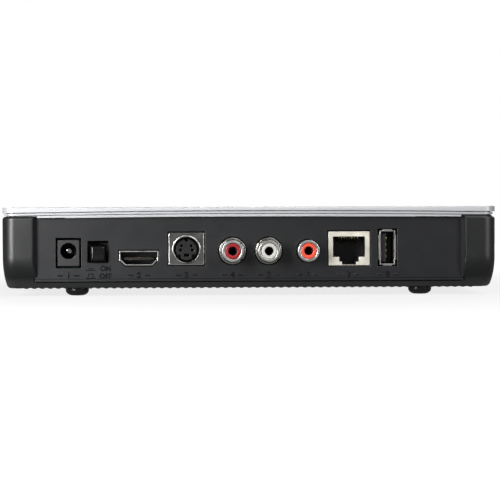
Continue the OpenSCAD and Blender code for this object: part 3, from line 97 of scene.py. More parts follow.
def blank_material(name):
    """A material with an empty node tree, and the object coordinates that its patterns read."""
    material = bpy.data.materials.new(name)
    material.use_nodes = True
    material.node_tree.nodes.clear()
    place = add_node(material.node_tree, "ShaderNodeTexCoord").outputs["Object"]
    return material, material.node_tree, place


def pattern(tree, place, size_mm, detail=2.0, stretch=(1, 1, 1)):
    """Noise whose cells are size_mm across, drawn out along an axis where stretch is above 1."""
    scale = [1 / (MM * size_mm * s) for s in stretch]
    scaled = add_node(tree, "ShaderNodeMapping", values={"Scale": scale}, links={"Vector": place})
    noise = add_node(tree, "ShaderNodeTexNoise", values={"Scale": 1.0, "Detail": detail},
                     links={"Vector": scaled.outputs["Vector"]})
    return noise.outputs["Fac"]


def drift(tree, *shares):
    """A value that patterns shift. Each share is a noise, and the lowest and highest that it gives
    over 0.3..0.7, where most of a noise lies. The shares are added up."""
    parts = [add_node(tree, "ShaderNodeMapRange",
                      values={"From Min": 0.3, "From Max": 0.7, "To Min": low, "To Max": high},
                      links={"Value": noise}).outputs["Result"] for noise, low, high in shares]
    total = parts[0]
    for part in parts[1:]:
        total = add_node(tree, "ShaderNodeMath", settings={"operation": "ADD"},
                         links={0: total, 1: part}).outputs[0]
    return total


def moulded_plastic(name, dark, light, roughness, grain_mm, depth_mm, painted_bounce=None):
    """Injection-moulded plastic. Grain from the mould lifts the skin by depth_mm. Slow flow marks,
    tens of millimetres long, shift its colour a little, and handling shifts its gloss. A painted
    bounce of light from the table below is another colour and two heights in mm: full below the
    first, and gone above the second."""
    material, tree, place = blank_material(name)
    flow = pattern(tree, place, size_mm=24, detail=3.0, stretch=(1.6, 1, 1))
    grain = pattern(tree, place, size_mm=grain_mm)
    handled = pattern(tree, place, size_mm=7, detail=4.0)
    rough = drift(tree, (handled, roughness - 0.02, roughness + 0.025), (grain, -0.04, 0.04))
    bump = add_node(tree, "ShaderNodeBump", values={"Strength": 0.9, "Distance": depth_mm * MM},
                    links={"Height": grain})
    colour = add_node(tree, "ShaderNodeMix", settings={"data_type": "RGBA"},
                      values={6: linear(dark), 7: linear(light)},
                      links={0: drift(tree, (flow, 0, 1))}).outputs[2]
    # Painted light: the bottom is lifted towards a paler colour, as if lit from the table below
    if painted_bounce:
        bounce_colour, full_to, gone_from = painted_bounce
        z = add_node(tree, "ShaderNodeSeparateXYZ", links={0: place}).outputs["Z"]
        bounce_share = add_node(tree, "ShaderNodeMapRange",
                        values={"From Min": full_to * MM, "From Max": gone_from * MM,
                                "To Min": 1, "To Max": 0},
                        links={"Value": z}).outputs["Result"]
        colour = add_node(tree, "ShaderNodeMix", settings={"data_type": "RGBA"},
                          values={7: linear(bounce_colour)}, links={0: bounce_share, 6: colour}).outputs[2]
    shader = add_node(tree, "ShaderNodeBsdfPrincipled", values={"IOR": 1.53},
                      links={"Base Color": colour, "Roughness": rough,
                             "Normal": bump.outputs["Normal"]})
    add_node(tree, "ShaderNodeOutputMaterial", links={"Surface": shader.outputs[0]})
    return material


def new_object(name, data):
    """Puts a mesh, curve, lamp or camera into the scene, at the origin."""
    thing = bpy.data.objects.new(name, data)
    bpy.context.scene.collection.objects.link(thing)
    return thing


def finished_copy(node, material, edge_mm=0.15, sharpest=34, segments=2):
    """A copy of a solid as it comes from its tool: loose triangles are merged, flat faces are
    joined, and each edge that turns by more than sharpest degrees gets a radius of edge_mm."""
    weld = 0.002 * MM
    flat_within = math.radians(0.3)
    work = bmesh.new()
    work.from_mesh(nodes[node].data)
    bmesh.ops.remove_doubles(work, verts=work.verts, dist=weld)
    bmesh.ops.dissolve_limit(work, angle_limit=flat_within, verts=work.verts, edges=work.edges)
    limit = math.radians(sharpest)
    sharp = [e for e in work.edges if len(e.link_faces) == 2 and e.calc_face_angle(0) > limit]
    bmesh.ops.bevel(work, geom=sharp, offset=edge_mm * MM, segments=segments, profile=0.5,
                    affect="EDGES", clamp_overlap=False, loop_slide=True)
    mesh = bpy.data.meshes.new(node + "_finished")
    work.to_mesh(mesh)
    work.free()
    mesh.shade_smooth()
    mesh.materials.append(material)
    piece = new_object(node + "_finished", mesh)
    weighted = piece.modifiers.new("flat faces keep their normals", "WEIGHTED_NORMAL")
    weighted.keep_sharp = False
    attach(piece, nodes[node]["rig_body"])
    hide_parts(node)
    return piece


# The paler grey at the bottom is painted light, the lit table reflected in the base
black_abs = moulded_plastic("black ABS, spark-eroded mould", "090a0b", "0d0e0f", roughness=0.4,
                            grain_mm=0.42, depth_mm=0.01, painted_bounce=("2f3030", 4.6, 7.4))
finished_copy("lower_housing", black_abs, edge_mm=0.22, sharpest=24)


# ---- Rubber feet ----
# Four domes of black rubber, glued into seats in the underside. They are pressed in a polished
# mould, so they shine a little, and they pick up fine dust.

foot_rubber = moulded_plastic("black rubber, pressed", "0f0f10", "181819", roughness=0.24,
                              grain_mm=0.9, depth_mm=0.006)
for foot in ("foot_front_left", "foot_front_right", "foot_rear_left", "foot_rear_right"):
    finished_copy(foot, foot_rubber, edge_mm=0.1, sharpest=60)


# ---- Main board ----
# A glass laminate with a green solder mask over its copper tracks. It carries the sockets along
# its rear edge, and stands on posts of the housing. Three smaller boards are made the same way.


def solder_mask(name, dark, light):
    """Green mask over copper: patches of track, about 4.3 by 0.8 mm, show through it, paler."""
    material, tree, place = blank_material(name)
    tracks = add_node(tree, "ShaderNodeTexBrick",
                      settings={"offset": 0.37, "squash": 0.7, "squash_frequency": 3},
                      values={"Scale": 1 / (1.4 * MM), "Mortar Size": 0.12, "Brick Width": 3.1,
                              "Row Height": 0.6},
                      links={"Vector": place})
    woven = pattern(tree, place, size_mm=0.6, detail=1.0, stretch=(1, 2, 1))
    bump = add_node(tree, "ShaderNodeBump", values={"Strength": 0.6, "Distance": 0.03 * MM},
                    links={"Height": tracks.outputs["Fac"]})
    colour = add_node(tree, "ShaderNodeMix", settings={"data_type": "RGBA"},
                      values={6: linear(light), 7: linear(dark)},
                      links={0: tracks.outputs["Fac"]}).outputs[2]
    shader = add_node(tree, "ShaderNodeBsdfPrincipled", values={"IOR": 1.5},
                      links={"Base Color": colour, "Roughness": drift(tree, (woven, 0.25, 0.4)),
                             "Normal": bump.outputs["Normal"]})
    add_node(tree, "ShaderNodeOutputMaterial", links={"Surface": shader.outputs[0]})
    return material


board_laminate = solder_mask("green solder mask on glass laminate", "12402a", "1f6b42")
for board in ("main_board", "front_board", "dock_board", "drive_board"):
    finished_copy(board, board_laminate, edge_mm=0.1)


# ---- Screws ----
# Small machine screws of steel. The heads in the case, the boards and the cage have a hexagonal
# socket. The bezel's heads are plain, and the drive's screws have none. Their bright zinc plating
# has a faint bluish cloud.


def metal(name, dark, light, roughness, grain_mm, stretch=(1, 1, 1), depth_mm=0.01, swirl=0.05):
    """Metal with marks of grain_mm, drawn out along an axis where it was rolled or brushed. Its
    roughness drifts by swirl either way, in clouds of 5 mm."""
    material, tree, place = blank_material(name)
    marks = pattern(tree, place, size_mm=grain_mm, detail=3.0, stretch=stretch)
    cloud = pattern(tree, place, size_mm=5, detail=3.0)
    bump = add_node(tree, "ShaderNodeBump", values={"Strength": 0.7, "Distance": depth_mm * MM},
                    links={"Height": marks})
    rough = drift(tree, (cloud, roughness - swirl, roughness + swirl), (marks, -0.04, 0.04))
    colour = add_node(tree, "ShaderNodeMix", settings={"data_type": "RGBA"},
                      values={6: linear(dark), 7: linear(light)},
                      links={0: drift(tree, (cloud, 0, 1))}).outputs[2]
    shader = add_node(tree, "ShaderNodeBsdfPrincipled", values={"Metallic": 1.0},
                      links={"Base Color": colour, "Roughness": rough,
                             "Normal": bump.outputs["Normal"]})
    add_node(tree, "ShaderNodeOutputMaterial", links={"Surface": shader.outputs[0]})
    return material


zinc_screws = metal("zinc-plated steel", "a9aeb4", "c3c6c9", roughness=0.32, grain_mm=0.5)
for screws in ("case_screws", "board_screws", "cage_screws", "bezel_screws", "drive_screws"):
    finished_copy(screws, zinc_screws, edge_mm=0.12, sharpest=50)


# ---- Chips, heat sink and capacitors ----
# Chips are cast in black epoxy with a dull, sandy skin. The heat sink is extruded aluminium,
# which clear anodising leaves a soft grey. The capacitors wear shrunk sleeves of glossy blue film.

chip_epoxy = moulded_plastic("black epoxy, cast", "1b1c1e", "242527", roughness=0.6, grain_mm=0.25,
                             depth_mm=0.02)
for chip in ("main_chip", "memory_chips", "ir_receiver"):
    finished_copy(chip, chip_epoxy, edge_mm=0.1)
anodised = metal("aluminium, extruded and anodised", "9ea4aa", "b4b9be", roughness=0.4,
                 grain_mm=0.3, stretch=(1, 30, 1))
finished_copy("heat_sink", anodised, edge_mm=0.1)
sleeve = moulded_plastic("shrink sleeve, blue", "303c78", "3b4a8c", roughness=0.28, grain_mm=1.2,
                         depth_mm=0.01)
finished_copy("capacitors", sleeve, edge_mm=0.5, sharpest=40, segments=3)


# ---- Power socket ----
# A black block of glass-filled nylon around a centre pin. The nylon's fibres leave it duller than
# the case, and the pin, turned and nickel-plated, is nearly a mirror.

socket_plastic = moulded_plastic("glass-filled nylon, moulded", "0a0a0b", "101012", roughness=0.5,
                                 grain_mm=0.6, depth_mm=0.008)
finished_copy("dc_jack_body", socket_plastic, edge_mm=0.2)
pin_nickel = metal("nickel plating, turned pin", "b4b4b2", "c8c8c5", roughness=0.14, grain_mm=0.2,
                   depth_mm=0.001, swirl=0.02)
finished_copy("dc_jack_pin", pin_nickel, edge_mm=0.6, sharpest=40, segments=4)


# ---- Push switch ----
# A tapered push button on a switch of the same nylon. The button is ABS from a polished mould,
# shiny and nearly black. A coil of drawn wire, a bright grey, pushes it out again.


def reach(node):
    """The lowest and highest corners of a solid's box, and the box's middle."""
    low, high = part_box(node)
    return low, high, (low + high) / 2


def grid_surface(name, points, material, closed=(False, False), capped=False):
    """A mesh through a grid of points, rows by columns. A closed direction joins its last row or
    column to its first, and capped ends are fans about the middle of the first and last rows."""
    same_point = 1e-7
    rows, cols = points.shape[:2]
    i = np.arange(rows if closed[0] else rows - 1)
    j = np.arange(cols if closed[1] else cols - 1)
    i, j = (g.ravel() for g in np.meshgrid(i, j, indexing="ij"))
    i2, j2 = (i + 1) % rows, (j + 1) % cols
    faces = np.stack([i * cols + j, i * cols + j2, i2 * cols + j2, i2 * cols + j], 1).tolist()
    vertices = points.reshape(-1, 3)
    if capped:
        middles = np.stack([points[0].mean(0), points[-1].mean(0)])
        n = len(vertices)
        vertices = np.concatenate([vertices, middles])
        k = np.arange(cols)
        last = (rows - 1) * cols
        faces += np.stack([np.full(cols, n), (k + 1) % cols, k], 1).tolist()
        faces += np.stack([np.full(cols, n + 1), last + k, last + (k + 1) % cols], 1).tolist()
    mesh = bpy.data.meshes.new(name)
    mesh.from_pydata(vertices.tolist(), [], faces)
    work = bmesh.new()
    work.from_mesh(mesh)
    bmesh.ops.remove_doubles(work, verts=work.verts, dist=same_point)
    bmesh.ops.recalc_face_normals(work, faces=work.faces)
    work.to_mesh(mesh)
    work.free()
    mesh.shade_smooth()
    mesh.materials.append(material)
    return new_object(name, mesh)


def coil_of_wire(name, x, y0, y1, z, radius, wire, turns, material):
    """Compression spring along Y: a circle of the wire's radius, carried along a helix. The helix
    climbs evenly, except over the last 0.8 of a turn at each end, where the spring is closed and
    it climbs by one wire's thickness a turn."""
    steps_per_turn = 28
    points_round_wire = 10
    closed_turn = 0.8
    steps = np.linspace(0, turns, int(turns * steps_per_turn) + 1)
    climb = np.clip((steps - closed_turn) / (turns - 2 * closed_turn), 0, 1)
    after_end = np.clip(steps - turns + closed_turn, 0, None)
    before_start = np.clip(closed_turn - steps, 0, None)
    at_ends = (closed_turn + after_end - before_start) * wire
    y = y0 + wire / 2 + at_ends + climb * (y1 - y0 - wire - 2 * closed_turn * wire)
    a = 2 * np.pi * steps
    centre = np.stack([x + radius * np.cos(a), y, z + radius * np.sin(a)], 1)
    out = np.stack([np.cos(a), np.zeros_like(a), np.sin(a)], 1)
    along = np.gradient(centre, axis=0)
    along /= np.linalg.norm(along, axis=1)[:, None]
    side = np.cross(along, out)
    b = np.linspace(0, 2 * np.pi, points_round_wire, endpoint=False)
    ring = np.cos(b)[None, :, None] * out[:, None] + np.sin(b)[None, :, None] * side[:, None]
    points = centre[:, None] + wire / 2 * ring
    return grid_surface(name, points, material, closed=(False, True), capped=True)


spring_wire = metal("spring steel, drawn", "9ba0a6", "b6babd", roughness=0.25, grain_mm=0.2,
                    stretch=(1, 6, 1))


def fit_spring(name, node, wire, turns, body):
    """A coil as wide and long as its solid, at its seat, carried by the body that it is given."""
    low, high, middle = reach(node)
    coil = coil_of_wire(name, middle.x, low.y, high.y, middle.z, (high.x - low.x - wire) / 2, wire,
                        turns, spring_wire)
    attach(coil, body)
    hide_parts(node)
    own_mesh(coil)


finished_copy("switch_body", socket_plastic, edge_mm=0.15)
button_abs = moulded_plastic("black ABS, polished", "060607", "0a0a0b", roughness=0.14,
                             grain_mm=3.0, depth_mm=0.002)
finished_copy("power_button", button_abs, edge_mm=0.5, sharpest=24, segments=3)
fit_spring("switch_coil", "switch_spring", wire=0.34 * MM, turns=5, body="chassis")


# ---- HDMI socket ----
# A shell folded from thin steel, round a tongue of smooth black nylon with nineteen contacts of
# pale gold, ten above it and nine below. Its inside is painted a dull dark grey, as painted
# shade deep in the shell.


def refinish(piece, node, material, wanted):
    """Gives a second material to the faces that wanted(normal, centre, corners) picks. The centre
    and the corners are measured from the middle of the node's box."""
    middle = reach(node)[2]
    mesh = piece.data
    mesh.materials.append(material)
    for face in mesh.polygons:
        corners = [mesh.vertices[i].co - middle for i in face.vertices]
        if wanted(face.normal, face.center - middle, corners):
            face.material_index = 1


# Dark steel that paints the shade inside the shells and the bores
shade_dark_steel = metal("dark steel, painted shade inside a shell", "343435", "424244", roughness=0.5, grain_mm=0.7,
                   depth_mm=0.004)


def paint_shade_inside(piece, node, deeper_mm):
    """Painted shade: dark steel on the faces that lie deeper than deeper_mm behind the mouth and
    look
    inwards: they turn less than 73 degrees away from the socket's middle line."""
    inwards = 0.3
    low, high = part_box(node)
    mouth = (high.y - low.y) / 2

    def in_shade(normal, centre, corners):
        to_middle = -centre * Vector((1, 0, 1))
        deep = centre.y < mouth - deeper_mm * MM
        return deep and normal.dot(to_middle) > inwards * to_middle.length

    refinish(piece, node, shade_dark_steel, in_shade)


def small_boxes(name, centres, sizes, material, edge_mm):
    """Boxes with softened edges: eight corners each, half a size either way from each centre."""
    signs = np.array([[x, y, z] for x in (-1, 1) for y in (-1, 1) for z in (-1, 1)])
    centres = np.asarray(centres, float)
    sizes = np.broadcast_to(np.asarray(sizes, float), centres.shape)
    vertices = (centres[:, None] + signs[None] * sizes[:, None] / 2).reshape(-1, 3)
    sides = np.array([[0, 1, 3, 2], [4, 6, 7, 5], [0, 4, 5, 1], [2, 3, 7, 6], [0, 2, 6, 4],
                      [1, 5, 7, 3]])
    faces = (sides[None] + 8 * np.arange(len(centres))[:, None, None]).reshape(-1, 4)
    mesh = bpy.data.meshes.new(name)
    mesh.from_pydata(vertices.tolist(), [], faces.tolist())
    mesh.materials.append(material)
    piece = new_object(name, mesh)
    edge = piece.modifiers.new("edge", "BEVEL")
    edge.width = edge_mm * MM
    edge.segments = 2
    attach(piece, "chassis")


bright_nickel = metal("bright nickel plating", "c9c8c4", "dddcd8", roughness=0.3, grain_mm=0.7,
                      depth_mm=0.0005, swirl=0.02)
hdmi_shell = finished_copy("hdmi_shell", bright_nickel, edge_mm=0.12, sharpest=20)
# The shell's inside is painted dark, as shade
paint_shade_inside(hdmi_shell, "hdmi_shell", deeper_mm=0.5)
insert_nylon = moulded_plastic("black nylon, moulded", "08080a", "0c0c0e", roughness=0.37,
                               grain_mm=0.5, depth_mm=0.008)
finished_copy("hdmi_insert", insert_nylon, edge_mm=0.1)
gold_plate = metal("gold-plated bronze", "c4a86a", "d8c08a", roughness=0.3, grain_mm=0.3,
                   stretch=(1, 6, 1), depth_mm=0.004)
low, high, middle = reach("hdmi_insert")
contact_pitch = 1 * MM
contact_size = (0.45 * MM, 3.4 * MM, 0.08 * MM)
contact_y = high.y - 1.9 * MM
tongue_z = middle.z - 0.25 * MM
contact_rise = 0.52 * MM
rows = ((10, tongue_z + contact_rise), (9, tongue_z - contact_rise))
contacts = [[middle.x + (i - (count - 1) / 2) * contact_pitch, contact_y, z]
            for count, z in rows for i in range(count)]
small_boxes("hdmi_contacts", contacts, contact_size, gold_plate, edge_mm=0.02)


# ---- S-video socket ----
# A tin-plated steel shield with a rolled ring around its mouth, and a black insert with four pin
# holes, a slot and three keyways. The rims of its mouth and ring are painted paler than its face:
# painted highlights along its edges.

tin_plate = metal("tin-plated steel", "8e8e8c", "a2a29f", roughness=0.22, grain_mm=0.8,
                  stretch=(1, 1, 2), depth_mm=0.006, swirl=0.03)
# A paler tin, a painted highlight on the edges round the mouth
painted_highlight_tin = metal("tin plate, painted highlight", "d8d7d2", "e8e7e3", roughness=0.32, grain_mm=0.4,
                 depth_mm=0.0005, swirl=0.02)
low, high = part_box("svideo_shield")
shield_half = (high - low) / 2
sheet_edge = 0.3 * MM
mouth_depth = 0.6 * MM
turned_out = 0.05
ring_radius = 5.45 * MM


def on_painted_highlight(normal, centre, corners):
    """Faces round the mouth that lie in its ring, at either side or along the bottom: they get a
    painted highlight.
    """
    at_mouth = centre.y > shield_half.y - mouth_depth and normal.y > turned_out
    at_side = min(abs(c.x) for c in corners) > shield_half.x - sheet_edge
    at_bottom = max(c.z for c in corners) < sheet_edge - shield_half.z
    in_ring = max(math.hypot(c.x, c.z) for c in corners) < ring_radius
    return at_mouth and (at_side or at_bottom or in_ring)


shield = finished_copy("svideo_shield", tin_plate, edge_mm=0.22, segments=3)
refinish(shield, "svideo_shield", painted_highlight_tin, on_painted_highlight)
finished_copy("svideo_insert", insert_nylon, edge_mm=0.12)


# ---- Audio sockets ----
# Barrels turned and plated in a pale nickel. Two of them have a slotted collar of spring steel,
# pressed, darker and sharper in its shine, which grounds them on the panel. Inserts fill the
# barrels, moulded in the plug's colour with a satin skin.


def turned_piece(name, x, z, radii, places, material, steps=72):
    """A closed outline turned about a line along Y at (x, z): radii over places along Y."""
    a = np.linspace(0, 2 * np.pi, steps, endpoint=False)
    r = np.asarray(radii)[:, None]
    y = np.broadcast_to(np.asarray(places)[:, None], (len(radii), steps))
    points = np.stack([x + r * np.cos(a), y, z + r * np.sin(a)], 2)
    return grid_surface(name, points, material, closed=(True, True))


def quarter(r0, y0, dr, dy, n=7):
    """Points of a quarter of an ellipse that starts along Y at (r0, y0) and ends along r."""
    a = np.linspace(0, np.pi / 2, n)
    return r0 + dr * (1 - np.cos(a)), y0 + dy * np.sin(a)


barrel_nickel = metal("nickel plating on turned brass", "c8c8c4", "dadad7", roughness=0.31,
                      grain_mm=0.7, depth_mm=0.0002, swirl=0.01)
collar_steel = metal("spring steel, pressed", "a09f9a", "b2b1ac", roughness=0.24, grain_mm=0.7,
                     depth_mm=0.0003, swirl=0.01)
collar_bore = 4.3 * MM


def on_collar(normal, centre, corners):
    """Faces outside the bore of the collar."""
    return min(math.hypot(c.x, c.z) for c in corners) > collar_bore


for block in ("audio_block", "coax_block"):
    finished_copy(block, socket_plastic, edge_mm=0.2)
for barrel in ("red_barrel", "white_barrel", "coax_barrel"):
    turned = finished_copy(barrel, barrel_nickel, edge_mm=0.24, sharpest=40,
                           segments=4)
    if barrel != "coax_barrel":
        refinish(turned, barrel, collar_steel, on_collar)

insert_bore = 1.7 * MM
rim_radius = 0.55 * MM
bore_flare = 0.35 * MM
bore_depth = 0.3 * MM
# The plug's pin slides into a sprung sleeve, whose front end lies well behind the face
sleeve_play = 0.02 * MM
sleeve_wall = 0.28 * MM
sleeve_front = 3.4 * MM
sleeve_back = 1 * MM
plug_colours = {
    "red_insert": ("red_plastic", "red plastic, moulded", "7a171b", "8c1e22"),
    "white_insert": ("white_plastic", "white plastic, moulded", "aaa8a3", "b6b4af"),
    "coax_insert": ("orange_plastic", "orange plastic, moulded", "c5422c", "d24e36"),
}
for insert, (slot, name, dark, light) in plug_colours.items():
    low, high, middle = reach(insert)
    outer = (high.x - low.x) / 2
    rim_r, rim_y = quarter(outer, high.y - rim_radius, -rim_radius, rim_radius)
    bore_r, bore_y = quarter(insert_bore, high.y - bore_depth, bore_flare, bore_depth)
    radii = np.concatenate([[insert_bore, outer], rim_r, bore_r[::-1]])
    places = np.concatenate([[low.y, low.y], rim_y, bore_y[::-1]])
    plastic = moulded_plastic(name, dark, light, roughness=0.3, grain_mm=0.9, depth_mm=0.006)
    piece = turned_piece(insert + "_moulded", middle.x, middle.z, radii, places, plastic)
    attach(piece, "chassis")
    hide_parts(insert)
    outside = insert_bore - sleeve_play
    inside = outside - sleeve_wall
    back = low.y + sleeve_back
    front = high.y - sleeve_front
    # The sleeve's dark steel is painted shade deep in the bore
    contact = turned_piece(insert + "_sleeve", middle.x, middle.z,
                           [outside, outside, inside, inside], [back, front, front, back],
                           shade_dark_steel, steps=36)
    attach(contact, "chassis")


# ---- Network socket ----
# A brass shield over a black insert, with eight gold wires that spring down from the roof of its
# mouth. Its satin nickel is warm and pale, and mirrors nothing sharply.

satin_nickel = metal("satin nickel on brass", "dcd7ca", "ebe6da", roughness=0.5, grain_mm=0.4,
                     stretch=(2, 1, 1))
finished_copy("lan_shield", satin_nickel, edge_mm=0.06)
finished_copy("lan_insert", socket_plastic, edge_mm=0.12)
finished_copy("lan_contacts", gold_plate, edge_mm=0.08)


# ---- USB socket ----
# An upright shell folded from tin-plated steel, with lips that lead the plug in, round a black
# tongue with four contacts. Its tin is paler and softer in its shine than the S-video shield's.

shell_tin = metal("tin-plated steel, smooth", "bab8b4", "cccac6", roughness=0.32, grain_mm=0.9,
                  depth_mm=0.0001, swirl=0.01)
usb_shell = finished_copy("usb_shell", shell_tin, edge_mm=0.05, sharpest=20)
# The shell's inside is painted dark, as shade
paint_shade_inside(usb_shell, "usb_shell", deeper_mm=0.1)
finished_copy("usb_insert", socket_plastic, edge_mm=0.12)
finished_copy("usb_contacts", gold_plate, edge_mm=0.05)


# ---- Rear panel ----
# A flat plate of dark ABS, moulded with a finer grain than the case. Beneath each socket it has
# a number between two short bars, and beside the switch its two states. They stand up from the
# plate, and their steel was polished, so they look darker than the grain around them.

panel_abs = moulded_plastic("dark grey ABS, fine grain", "0a0b0d", "0f1013", roughness=0.39,
                            grain_mm=0.3, depth_mm=0.007)
finished_copy("rear_panel", panel_abs, edge_mm=0.2)
relief_abs = moulded_plastic("dark grey ABS, polished relief", "050506", "08080a", roughness=0.16,
                             grain_mm=2.0, depth_mm=0.002)
face_y = reach("rear_panel")[1].y
relief_h = 0.1 * MM


def relief_text(text, x, z, height):
    """Raised text, which reads from behind the case: its X runs along -X of the case."""
    curve = bpy.data.curves.new("text", "FONT")
    curve.body = text
    curve.size = height
    curve.align_x = "CENTER"
    curve.align_y = "CENTER"
    curve.extrude = relief_h
    curve.bevel_depth = 0.03 * MM
    curve.offset = 0.1 * MM
    curve.bevel_resolution = 1
    holder = new_object("text", curve)
    bpy.context.view_layer.update()
    view = bpy.context.evaluated_depsgraph_get()
    mesh = bpy.data.meshes.new_from_object(holder.evaluated_get(view))
    bpy.data.objects.remove(holder)
    mesh.transform(Matrix(((-1, 0, 0, x), (0, 0, 1, face_y), (0, 1, 0, z), (0, 0, 0, 1))))
    return mesh


def join_relief(name, meshes):
    """Several raised texts as one piece of the panel."""
    same_point = 1e-7
    work = bmesh.new()
    for mesh in meshes:
        work.from_mesh(mesh)
    bmesh.ops.remove_doubles(work, verts=work.verts, dist=same_point)
    joined = bpy.data.meshes.new(name)
    work.to_mesh(joined)
    work.free()
    joined.materials.clear()
    joined.materials.append(relief_abs)
    piece = new_object(name, joined)
    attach(piece, "chassis")


sockets = ("dc_jack_body", "hdmi_shell", "svideo_shield", "red_barrel", "white_barrel",
           "coax_barrel", "lan_shield", "usb_shell")
sockets_x = [reach(socket)[2].x for socket in sockets]
number_z = 8.1 * MM
number_height = 3 * MM
bar_offset = 3.2 * MM
bar_length = 2.2 * MM
bar_width = 0.5 * MM
join_relief("socket_numbers", [relief_text(str(i + 1), x, number_z, number_height)
                               for i, x in enumerate(sockets_x)])
bars = [[x + side * bar_offset, face_y, number_z] for x in sockets_x for side in (-1, 1)]
small_boxes("number_bars", bars, (bar_length, 2 * relief_h, bar_width), relief_abs,
            edge_mm=0.08)

# Beside the words for the switch, each of its two states is drawn as a button on a line: low
# when it is in, and high when it is out. A stroke is given by its middle and its size, in mm
switch_x = reach("switch_body")[2].x
words_x = switch_x - 2.8 * MM
marks_x = switch_x + 2.9 * MM
word_height = 2.6 * MM
on_z = 10.8 * MM
off_z = 7.9 * MM
stroke = 0.35
pressed_in = [(0, -0.7, 3.9, stroke), (0, 0, 2.1, stroke)]
pushed_out = [(0, -0.8, 3.9, stroke), (0, 0.8, 2.1, stroke), (-0.9, 0, stroke, 1.5),
              (0.9, 0, stroke, 1.5)]
join_relief("switch_words", [relief_text("ON", words_x, on_z, word_height),
                             relief_text("OFF", words_x, off_z, word_height)])
strokes = [(z, *shape) for z, mark in ((on_z, pressed_in), (off_z, pushed_out)) for shape in mark]
stroke_centres = [(marks_x + dx * MM, face_y, z + dz * MM) for z, dx, dz, _, _ in strokes]
stroke_sizes = [(width * MM, 2 * relief_h, height * MM) for _, _, _, width, height in strokes]
small_boxes("switch_marks", stroke_centres, stroke_sizes, relief_abs, edge_mm=0.06)


# ---- Top cover ----
# The lid, moulded in ABS and sprayed with a fine silver-white lacquer. Two thin seams run round
# it between its three bands, and rise a little towards the middle.


def lacquered(name, dark, light, roughness, flake_mm):
    """Metallic lacquer under a clear coat: flakes of flake_mm, drawn as coarse as they need to
    show, in soft clouds of 30 mm, with an orange peel of 2.2 mm."""
    material, tree, place = blank_material(name)
    flakes = pattern(tree, place, size_mm=flake_mm, detail=1.0)
    cloud = pattern(tree, place, size_mm=30)
    orange_peel = pattern(tree, place, size_mm=2.2, detail=1.0)
    bump = add_node(tree, "ShaderNodeBump", values={"Strength": 0.5, "Distance": 0.004 * MM},
                    links={"Height": orange_peel})
    colour = add_node(tree, "ShaderNodeMix", settings={"data_type": "RGBA"},
                      values={6: linear(dark), 7: linear(light)},
                      links={0: drift(tree, (flakes, 0, 0.55), (cloud, 0, 0.45))}).outputs[2]
    rough = drift(tree, (flakes, roughness - 0.05, roughness + 0.05))
    shader = add_node(tree, "ShaderNodeBsdfPrincipled",
                      values={"Metallic": 0.25, "Coat Weight": 0.2, "Coat Roughness": 0.3},
                      links={"Base Color": colour, "Roughness": rough,
                             "Normal": bump.outputs["Normal"]})
    add_node(tree, "ShaderNodeOutputMaterial", links={"Surface": shader.outputs[0]})
    return material


pale_abs = lacquered("silver-white lacquer on ABS", "adaeb1", "babbbd", roughness=0.4,
                     flake_mm=0.35)
finished_copy("top_cover", pale_abs, edge_mm=0.1, sharpest=24, segments=3)


# ---- Front ----
# A polished black fascia in the front recess, with a dark red window for a remote control and
# two ends of a clear light pipe. The status lights behind it are cast in clear resin.

gloss_abs = moulded_plastic("black ABS, polished mould", "111215", "17181b", roughness=0.2,
                            grain_mm=4.0, depth_mm=0.002)
finished_copy("front_fascia", gloss_abs, edge_mm=0.2)
window_plastic = moulded_plastic("dark red polycarbonate", "3a0a0e", "4a1016", roughness=0.1,
                                 grain_mm=5.0, depth_mm=0.001)
finished_copy("ir_window", window_plastic, edge_mm=0.15)


def clear_plastic(name, tint, roughness):
    """Clear moulded plastic: light passes, and faint ripples of 3 mm bend it."""
    material, tree, place = blank_material(name)
    ripple = pattern(tree, place, size_mm=3, detail=1.0)
    bump = add_node(tree, "ShaderNodeBump", values={"Strength": 0.3, "Distance": 0.01 * MM},
                    links={"Height": ripple})
    shader = add_node(tree, "ShaderNodeBsdfPrincipled",
                      values={"Base Color": linear(tint), "IOR": 1.49,
                              "Transmission Weight": 0.85},
                      links={"Roughness": drift(tree, (ripple, roughness, roughness + 0.06)),
                             "Normal": bump.outputs["Normal"]})
    add_node(tree, "ShaderNodeOutputMaterial", links={"Surface": shader.outputs[0]})
    return material


acrylic = clear_plastic("clear acrylic, moulded", "e6eef0", roughness=0.08)
finished_copy("light_pipe", acrylic, edge_mm=0.15, sharpest=40)
resin = clear_plastic("clear resin, cast", "f2f5f8", roughness=0.15)
finished_copy("status_lights", resin, edge_mm=0.1)


# ---- Ribbon cable ----
# A flat cable of copper strips between two polyester films, which joins the front board to the
# main board. The strips show through the pale film as greyer bands.


def flat_cable(name, film, conductor, pitch_mm):
    """Polyester film over flat conductors: bands of about pitch_mm run along the cable."""
    bands_per_unit = 3.18
    material, tree, place = blank_material(name)
    bands = add_node(tree, "ShaderNodeTexWave",
                     settings={"wave_type": "BANDS", "bands_direction": "X"},
                     values={"Scale": 1 / (pitch_mm * MM) / bands_per_unit},
                     links={"Vector": place}).outputs["Fac"]
    colour = add_node(tree, "ShaderNodeMix", settings={"data_type": "RGBA"},
                      values={6: linear(conductor), 7: linear(film)}, links={0: bands}).outputs[2]
    rough = add_node(tree, "ShaderNodeMapRange", values={"To Min": 0.25, "To Max": 0.4},
                     links={"Value": bands}).outputs["Result"]
    shader = add_node(tree, "ShaderNodeBsdfPrincipled", values={"IOR": 1.57},
                      links={"Base Color": colour, "Roughness": rough})
    add_node(tree, "ShaderNodeOutputMaterial", links={"Surface": shader.outputs[0]})
    return material


ribbon_film = flat_cable("polyester film on flat conductors", "ece8dc", "a9a596", pitch_mm=1.0)
finished_copy("ribbon_cable", ribbon_film, edge_mm=0.05, sharpest=60)


